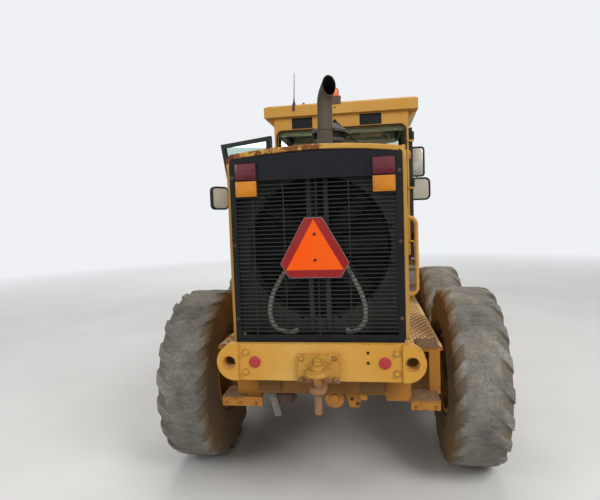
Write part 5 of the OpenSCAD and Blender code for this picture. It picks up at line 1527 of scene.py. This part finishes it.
def headlamp_details():
    """Clear lenses, bright rims and their leads."""
    leads = Piece("headlamp_leads", hose_black, "front_body", "black_plastic")
    rims = Piece("headlamp_rims", chrome, "front_body", "lamp_metal")
    lenses = Piece("headlamp_lenses", lamp_glass, "front_body", "lamp_metal")
    for side in (-1, 1):
        at = Vector((side * 0.380, LAMP_Y, LAMP_Z))
        lenses.lathe([(0, 0.0002), (0.070, 0.0002), (0.072, 0.006), (0.055, 0.013), (0.028, 0.018),
                      (0, 0.0195)], at, Y, 48)
        rims.lathe([(0.071, -0.002), (0.080, -0.002), (0.083, 0.003), (0.080, 0.011), (0.073, 0.012),
                    (0.071, 0.008)], at, Y, 48)
        leads.tube(curve_points([at + Vector((0, -0.090, 0)), at + Vector((0, -0.115, -0.020)),
                                 at + Vector((-side * 0.02, -0.100, -0.080)),
                                 (side * 0.345, LAMP_Y - 0.061, LAMP_Z - 0.100),
                                 (side * 0.250, LAMP_Y - 0.061, LAMP_Z - 0.112)], 24), 0.0055, 8)
    lenses.done()
    rims.done()
    leads.done()


SADDLE_Y = 3.420
FORWARD = (-math.pi / 2, 0, 0)


def frame_bolts():
    """Bolts on the saddle, chain cases, rails, axle cover, ladders and nose, and the hitch pin's cap."""
    bolts("saddle_bolts", [(x, SADDLE_Y - 0.120, z) for x in (-0.215, 0.215) for z in (1.62, 1.70, 1.78)],
          0.014, 0.012, BACKWARD, beam_yellow, "front_body")
    cover = [(0.802, y, TYRE_R + z) for y, z in circle(0.130, 12)]
    edge = [(0.790, y, TYRE_R + z) for z in (-0.185, 0.185) for y in (-0.6, -0.45, -0.3, 0.3, 0.45, 0.6)]
    rail = [(0.400, y, z) for y in (-1.30, -1.22, 0.80, 0.88, 1.02) for z in (0.90, 1.04)]
    for word, turn in SIDES:
        bolts("case_bolts_" + word, cover + edge, 0.010, 0.008, RIGHTWARD, low_yellow, "rear_body",
              turn)
        bolts("rail_bolts_" + word, rail, 0.012, 0.010, RIGHTWARD, low_yellow, "rear_body",
              turn)
    ring = [(x, -0.2852, TYRE_R + z) for x, z in circle(0.112, 10)]
    bolts("axle_cover_bolts", ring, 0.009, 0.008, BACKWARD, low_yellow, "rear_body")
    cap = Piece("hitch_cap", low_yellow, "rear_body", "yellow_paint")
    cap.lathe([(0, 0), (0.085, 0), (0.088, 0.006), (0.070, 0.014), (0, 0.016)], (0, 1.900, 1.1302), Z, 40)
    cap.done()
    spots = [(x, 1.900 + y, 1.1448) for x, y in circle(0.050, 6)]
    bolts("hitch_cap_bolts", spots, 0.008, 0.007, UPWARD, low_yellow, "rear_body")
    points = [(s * x, 2.100, z) for s in (-1, 1) for x in (0.64, 0.92) for z in (1.245, 1.280)]
    bolts("ladder_bolts", points, 0.009, 0.007, BACKWARD, black, "front_body")
    points = [(x, 6.420, z) for x in (-0.09, 0.09) for z in (1.16, 1.24, 1.32)]
    bolts("nose_bolts", points, 0.014, 0.012, FORWARD, beam_yellow, "front_body")


# radius of the blade's curve, and how far below the curve's middle the frame of the edge bolts lies
BLADE_R, BLADE_DROP = 0.413, 0.265
BLADE_LEAN = math.asin(BLADE_DROP / BLADE_R)
BLADE_AT = Vector((0, 3.800 - BLADE_R * math.cos(BLADE_LEAN), 0.100))


def blade_details():
    """Plough bolts through the cutting edge with their nuts behind, and bolts on the drawbar."""
    count = 23
    places = [(k - (count - 1) / 2) * 0.1524 for k in range(count)]
    turn = SHIFT @ Matrix.Translation(BLADE_AT) @ Matrix.Rotation(BLADE_LEAN, 4, "X")
    bolts("edge_bolts", [(x, 0.0095, 0.035) for x in places], 0.0115, 0.004, FORWARD, blade_metal,
          "blade_body", turn)
    bolts("edge_nuts", [(x, -0.0206, 0.035) for x in places], 0.0125, 0.011, BACKWARD, bare, "blade_body",
          turn)
    points = [(s * x, y, 0.9455) for s in (-1, 1) for x in (0.57, 0.61) for y in (3.26, 3.34, 3.60, 3.66)]
    bolts("drawbar_bolts", points, 0.015, 0.013, UPWARD, low_yellow, "drawbar_body")


PIPE_X = 0.1485


def hydraulics():
    """Steel pipes along the beam and hoses to the two lift cylinders, with their fittings."""
    pipes = Piece("beam_pipes", beam_yellow, "front_body", "yellow_paint")
    for side in (-1, 1):
        for k in range(3):
            z = 1.700 + 0.045 * k
            pipes.rod((side * PIPE_X, 2.90, z), (side * PIPE_X, 3.29, z), 0.008, 10)
            pipes.rod((side * PIPE_X, 3.55, z), (side * PIPE_X, 5.30, z), 0.008, 10)
        for y in (3.05, 3.80, 4.50, 5.20):
            pipes.block((side * PIPE_X - 0.010, y - 0.015, 1.685),
                        (side * PIPE_X + 0.010, y + 0.015, 1.805), 0.002)
    pipes.done()
    hoses = Piece("lift_hoses", hose_black, "front_body", "hose_rubber")
    fittings = Piece("hose_fittings", stack_metal, "front_body", "bare_steel")
    for side in (-1, 1):
        for z, drop in ((1.724, -0.08), (2.800, 0.14)):
            hoses.tube(curve_points([(side * 0.480, SADDLE_Y + 0.090, z),
                                     (side * 0.472, SADDLE_Y + 0.135, z),
                                     (side * 0.400, SADDLE_Y + 0.172, z + drop * 0.4 - 0.05),
                                     (side * 0.290, SADDLE_Y + 0.170, 1.860),
                                     (side * PIPE_X, SADDLE_Y + 0.165, 1.745)], 30), 0.0115, 10)
            fittings.lathe([(0, 0), (0.017, 0), (0.017, 0.018), (0.014, 0.020), (0.014, 0.034), (0, 0.034)],
                           (side * 0.480, SADDLE_Y + 0.0842, z), Y, 6)
    hoses.done()
    fittings.done()


def rim_details():
    """A valve stem, a lock ring with its gap, and a hub cap on every wheel."""
    for wheel in WHEELS:
        parts = Piece("rim_parts_" + wheel, rim_yellow, "wheel_" + wheel, "yellow_paint", wheel_turn(wheel))
        parts.tube([(0.1650, y, z) for y, z in circle(0.288, 56, -1)], 0.0065, 8)
        parts.lathe([(0, 0), (0.052, 0), (0.050, 0.010), (0.040, 0.020), (0, 0.024)], (0.1102, 0, 0), X, 32)
        parts.rod((0.050, 0.236, 0), (0.092, 0.236, 0), 0.0055, 10)
        parts.done()


INJECTOR_PITCH = 0.195


def engine_details():
    """Injectors, the turbocharger and the oil filters, seen when the engine doors are open."""
    parts = Piece("engine_parts", iron, "rear_body", "engine_iron")
    for i in range(6):
        parts.lathe([(0, 0), (0.020, 0), (0.018, 0.012), (0.008, 0.014), (0.007, 0.034), (0, 0.036)],
                    (0, -0.820 + i * INJECTOR_PITCH, 1.9682), Z, 16)
    parts.lathe([(0.04, -0.05), (0.10, -0.05), (0.125, -0.02), (0.125, 0.02), (0.10, 0.05), (0.04, 0.05)],
                (0.300, -0.300, 1.790), Y, 32)
    parts.rod((0.300, -0.300, 1.660), (0.300, -0.300, 1.720), 0.040, 20)
    parts.done()
    filters = Piece("oil_filters", beige_plastic, "rear_body", "engine_iron")
    for y in (-0.52, -0.38):
        filters.lathe([(0, 0), (0.038, 0), (0.046, 0.008), (0.046, 0.170), (0.040, 0.180), (0, 0.180)],
                      (-0.312, y, 1.280), Z, 28)
        filters.block((-0.335, y - 0.03, 1.459), (-0.2615, y + 0.03, 1.490), 0.004)
    filters.done()


def hood_door_details():
    """Bulged louvres over the slots, folds along the edges and a lock on each engine door."""
    for word, turn in SIDES:
        body = "hood_door_" + word
        parts = Piece("hood_door_louvres_" + word, hood_yellow, body, "yellow_paint", turn)
        for i in range(9):
            y = -1.080 + i * 0.070
            parts.prism([(0.5498, y - 0.010), (0.5560, y - 0.008), (0.5640, y + 0.004), (0.5650, y + 0.018),
                         (0.5610, y + 0.018), (0.5600, y + 0.006),
                         (0.5498, y - 0.003)], "Z", 1.752, 2.048, 0.0006)
        for z in (1.470, 2.110):
            parts.block((0.5495, -1.200, z - 0.008), (0.5540, 0.520, z + 0.008), 0.002)
        parts.done()
        lock = trim("hood_door_lock_" + word, body, turn)
        lock.lathe([(0, 0), (0.012, 0), (0.012, 0.004), (0.009, 0.007), (0, 0.008)],
                   (0.5640, -0.330, 1.515), X, 24)
        lock.done()


FAN_Z = 1.735
SHROUD_BOLT_R = 0.466


def shroud_details():
    """Bolts round the shroud, and fins across the radiator."""
    ring = [(SHROUD_BOLT_R * math.cos(a), -1.532, FAN_Z + SHROUD_BOLT_R * math.sin(a))
            for a in (2 * math.pi * (k + 0.5) / 12 for k in range(12))]
    bolts("shroud_bolts", [p for p in ring if abs(p[0]) > 0.1], 0.009, 0.007, BACKWARD, black, "rear_body")
    fins = Piece("radiator_fins", fin_metal, "rear_body", "core_aluminium")
    for k in range(46):
        x = -0.450 + k * 0.020
        fins.block((x - 0.0022, -1.3965, 1.240), (x + 0.0022, -1.3915, 2.190), 0.0005)
    fins.done()


def cushion(name, low, high, crown, turn, grooves):
    """A stuffed pad: its top swells, its sides pull in between the corners, and channels are sewn in."""
    part = bmesh.new()
    bmesh.ops.create_cube(part, size=1.0)
    bmesh.ops.subdivide_edges(part, edges=part.edges[:], cuts=15, use_grid_fill=True)
    low, high = Vector(low), Vector(high)
    size = high - low
    thin = min(range(3), key=lambda i: size[i])
    flat = [i for i in range(3) if i != thin]
    for v in part.verts:
        u = [2 * v.co[i] for i in flat]
        swell = (1 - u[0] ** 4) * (1 - u[1] ** 4)
        shrink = 1 - 0.035 * (1 - abs(2 * v.co[thin])) - 0.030 * (abs(u[0]) ** 6 + abs(u[1]) ** 6)
        co = Vector([v.co[i] * size[i] * (1 if i == thin else shrink) for i in range(3)])
        corner = max(abs(u[0]), abs(u[1]))
        co[thin] *= 1 - 0.30 * corner ** 5
        co[thin] += math.copysign(crown * swell, v.co[thin]) if v.co[thin] > 0 else 0.0
        for place_at, along in grooves:
            near = abs(2 * v.co[flat[along]] - place_at)
            if near < 0.09 and v.co[thin] > 0:
                co[thin] -= crown * 0.55 * (1 - near / 0.09)
        v.co = co + (low + high) / 2
    data = bpy.data.meshes.new(name)
    part.to_mesh(data)
    part.free()
    data.transform(SHIFT @ turn)
    return data


CLOTH_FRAMES = 20
STUFFING_PRESSURE, SWELL_LIMIT = 4.0, 0.012


def swollen(data, pressure, cap):
    """Fills a closed cushion by cloth simulation, and keeps how far any point may move."""
    thing = bpy.data.objects.new("pad", data)
    bpy.context.scene.collection.objects.link(thing)
    remesh = thing.modifiers.new("even", "REMESH")
    remesh.mode, remesh.voxel_size = "VOXEL", 0.006
    even = bpy.data.meshes.new_from_object(thing.evaluated_get(bpy.context.evaluated_depsgraph_get()))
    thing.modifiers.clear()
    thing.data = even
    before = [v.co.copy() for v in even.vertices]
    step = thing.modifiers.new("stuffing", "CLOTH")
    step.settings.use_pressure = True
    step.settings.uniform_pressure_force = pressure
    step.settings.effector_weights.gravity = 0
    step.settings.quality = 6
    step.settings.tension_stiffness = step.settings.compression_stiffness = 40
    for frame_number in range(1, CLOTH_FRAMES + 1):
        bpy.context.scene.frame_set(frame_number)
    filled = bpy.data.meshes.new_from_object(thing.evaluated_get(bpy.context.evaluated_depsgraph_get()))
    thing.modifiers.clear()
    bpy.data.objects.remove(thing)
    bpy.context.scene.frame_set(1)
    for v, start in zip(filled.vertices, before):
        away = v.co - start
        if away.length > cap:
            v.co = start + away.normalized() * cap
    return filled


# the seat's cushions: name, low and high corner, crown, placement, sewn channels as place and direction
SEAT_BACK = tipped((0, 1.400, 1.760), 8)
FLAT = Matrix.Identity(4)
CUSHIONS = [("seat_cushion", (-0.222, 1.400, 1.668), (0.222, 1.862, 1.745), 0.018, FLAT,
             [(-0.5, 0), (0.5, 0), (0.45, 1)]),
            ("seat_back_pad", (-0.210, -0.036, 0.034), (0.210, 0.045, 0.462), 0.014, SEAT_BACK,
             [(-0.5, 0), (0.5, 0), (-0.35, 1)]),
            ("head_pad", (-0.125, -0.034, 0.492), (0.125, 0.042, 0.622), 0.010, SEAT_BACK, [])]


def piping(name, low, high, turn, thin):
    """A sewn cord round a cushion's edge."""
    flat = [i for i in range(3) if i != thin]
    x0, x1, z0, z1 = (low[flat[0]] + 0.012, high[flat[0]] - 0.012, low[flat[1]] + 0.012,
                      high[flat[1]] - 0.012)
    line = []
    for a, b in rounded(x0, x1, z0, z1, 0.03, 5):
        co = [0, 0, 0]
        co[flat[0]], co[flat[1]], co[thin] = a, b, low[thin] + (high[thin] - low[thin]) * 0.80
        line.append(turn @ Vector(co))
    cord = Piece(name, black_plastic, "front_body", "seat_fabric")
    cord.tube(line + line[:1], 0.0045, 8)
    cord.done()


def seat_pieces():
    """The operator's seat: stuffed cushions, a moulded shell, arm rests and a folded suspension cover."""
    for name, low, high, crown, turn, grooves in CUSHIONS:
        data = cushion(name, low, high, crown, turn, grooves)
        data = swollen(data, STUFFING_PRESSURE, SWELL_LIMIT)
        pad = finished(name, data, cloth, "front_body")
        smooth = pad.modifiers.new("round", "SUBSURF")
        smooth.levels = smooth.render_levels = 1
        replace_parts(pad, "seat")
        piping(name + "_piping", low, high, turn, 2 if turn is FLAT else 1)
    shell = trim("seat_shell", "front_body")
    shell.block((-0.245, 1.385, 1.640), (0.245, 1.875, 1.668), 0.012)
    shell.block((-0.225, -0.060, 0.000), (0.225, -0.042, 0.480), 0.008, SEAT_BACK)
    shell.block((-0.035, -0.055, 0.470), (0.035, -0.040, 0.600), 0.005, SEAT_BACK)
    for a, b in both_sides((0.250, 1.420, 1.902), (0.318, 1.760, 1.948)):
        shell.block(a, b, 0.016)
    for a, b in both_sides((0.238, 1.425, 1.655), (0.264, 1.475, 1.930)):
        shell.block(a, b, 0.008)
    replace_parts(shell.done(), "seat")
    cover = Piece("seat_bellows", hose_black, "front_body", "black_plastic")
    for k in range(6):
        z = 1.445 + k * 0.032
        cover.block((-0.150, 1.490, z), (0.150, 1.750, z + 0.030), 0.013)
    cover.block((-0.158, 1.482, 1.4403), (0.158, 1.758, 1.456), 0.004)
    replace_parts(cover.done(), "seat")


WHEEL_LEAN = tipped((0, 2.190, 1.490), 18)


def console_details():
    """Gauges, a row of blade levers with knobs, pedals and a ribbed floor mat."""
    panel = trim("gauge_panel", "front_body")
    panel.block((-0.150, -0.062, 0.555), (0.150, 0.030, 0.638), 0.014, WHEEL_LEAN)
    panel.block((-0.205, -0.030, 0.480), (0.205, 0.030, 0.500), 0.006, WHEEL_LEAN)
    panel.done()
    dials = Piece("gauge_faces", lamp_glass, "front_body", "tinted_glass")
    rings = Piece("gauge_rings", chrome, "front_body", "lamp_metal")
    for x in (-0.105, -0.035, 0.035, 0.105):
        at = WHEEL_LEAN @ Vector((x, -0.0622, 0.598))
        rings.lathe([(0.024, 0), (0.029, 0), (0.028, 0.004), (0.025, 0.004)], at, WHEEL_LEAN.to_3x3() @ -Y,
                    28)
        dials.lathe([(0, 0), (0.0245, 0), (0.022, 0.002), (0, 0.003)], at, WHEEL_LEAN.to_3x3() @ -Y, 28)
    dials.done()
    rings.done()
    stems = Piece("lever_stems", chrome, "front_body", "rod_chrome")
    knobs = trim("lever_knobs", "front_body")
    for side in (-1, 1):
        for k in range(5):
            foot = WHEEL_LEAN @ Vector((side * (0.090 + 0.026 * k), 0.000, 0.495))
            top = foot + WHEEL_LEAN.to_3x3() @ Vector((side * 0.010, -0.026 - 0.004 * k, 0.092))
            stems.rod(foot, top, 0.004, 8)
            knobs.lathe([(0, -0.004), (0.008, 0), (0.0125, 0.012), (0.0115, 0.026), (0.006, 0.033),
                         (0, 0.035)], top, top - foot, 16)
    stems.done()
    knobs.done()
    mat = Piece("floor_mat", hose_black, "front_body", "black_plastic")
    mat.block((-0.360, 1.300, 1.4402), (0.360, 2.100, 1.4462), 0.002)
    for k in range(26):
        mat.block((-0.340 + k * 0.0265, 1.320, 1.4458), (-0.332 + k * 0.0265, 1.470, 1.4490), 0.001)
        mat.block((-0.340 + k * 0.0265, 1.775, 1.4458), (-0.332 + k * 0.0265, 2.080, 1.4490), 0.001)
    mat.done()
    pedals = Piece("pedals", bare, "front_body", "bare_steel")
    for x in (-0.200, 0.180, 0.260):
        tilt = tipped((x, 2.180, 1.560), -38)
        pedals.block((-0.032, -0.060, -0.004), (0.032, 0.050, 0.004), 0.002, tilt)
        for k in range(5):
            pedals.block((-0.030, -0.052 + k * 0.022, 0.0035), (0.030, -0.044 + k * 0.022, 0.0065), 0.001,
                         tilt)
        pedals.rod((x, 2.170, 1.4405), (x, 2.180, 1.556), 0.008, 10)
    pedals.done()


for make in (tail_lamps, bumper_details, warning_sign_details, grille_details, ribbed_hoses, hitch_details,
             step_details, hood_edge, under_rear, stack_details, precleaner_details, beacon_details,
             rear_window_details, cab_inside, door_details, headlamp_details, frame_bolts, blade_details,
             hydraulics, rim_details, engine_details, hood_door_details, shroud_details, seat_pieces,
             console_details):
    make()


# stage

BACKGROUND = (0.86, 0.88, 0.90, 1.0)


def finish_floor():
    made, tree, shader = blank("pale floor")
    at = place_on(tree)
    cloud = span(tree, noise(tree, at, 0.7, 5), 0.3, 0.7)
    fill(tree, shader, {"Base Color": mixed(tree, cloud, rgb(214, 212, 208), rgb(222, 220, 216)),
                        "Roughness": 0.9})
    # far from the machine the floor fades into the pale background
    away = put(tree, "ShaderNodeVectorMath", {0: at}, operation="LENGTH").outputs["Value"]
    haze = put(tree, "ShaderNodeEmission", {"Color": BACKGROUND, "Strength": 1.0})
    ray = put(tree, "ShaderNodeLightPath").outputs["Is Camera Ray"]
    faded = put(tree, "ShaderNodeMixShader", {0: times(tree, span(tree, away, 6.0, 17.0), ray),
                                              1: shader.outputs[0], 2: haze.outputs[0]})
    out = next(node for node in tree.nodes if node.type == "OUTPUT_MATERIAL")
    tree.links.new(faded.outputs[0], out.inputs["Surface"])
    return made


floor = bpy.data.meshes.new("floor")
floor.from_pydata([(-40, -40, 0), (40, -40, 0), (40, 40, 0), (-40, 40, 0)], [], [(0, 1, 2, 3)])
floor.materials.append(finish_floor())
floor = bpy.data.objects.new("floor", floor)
bpy.context.scene.collection.objects.link(floor)

LAMPS = [("key", (6.5, -9.0, 8.5), 5.0, 790), ("fill", (-6.5, -9.5, 5.5), 5.0, 255),
         ("front", (-4.0, 11.0, 8.0), 7.0, 560), ("top", (0.0, 0.0, 11.0), 8.0, 380)]
for name, at, size, power in LAMPS:
    data = bpy.data.lights.new(name, "AREA")
    data.size, data.energy = size, power
    lamp = bpy.data.objects.new(name, data)
    lamp.location = at
    lamp.rotation_euler = (Vector((0, 0, 1)) - Vector(at)).to_track_quat("-Z", "Y").to_euler()
    bpy.context.scene.collection.objects.link(lamp)

world = bpy.data.worlds.new("studio")
bpy.context.scene.world = world
world.use_nodes = True
tree = world.node_tree
tree.nodes.clear()
ray = put(tree, "ShaderNodeLightPath")
seen = maths(tree, "MAXIMUM", ray.outputs["Is Glossy Ray"], ray.outputs["Is Transmission Ray"])
seen = maths(tree, "MAXIMUM", ray.outputs["Is Camera Ray"], seen)
even = put(tree, "ShaderNodeBackground", {"Color": (0.9, 0.95, 1.0, 1.0), "Strength": 0.36})
pale = put(tree, "ShaderNodeBackground", {"Color": BACKGROUND, "Strength": 1.0})
both = put(tree, "ShaderNodeMixShader", {0: seen, 1: even.outputs[0], 2: pale.outputs[0]})
put(tree, "ShaderNodeOutputWorld", {0: both.outputs[0]})

bpy.context.scene.view_settings.view_transform = "Standard"
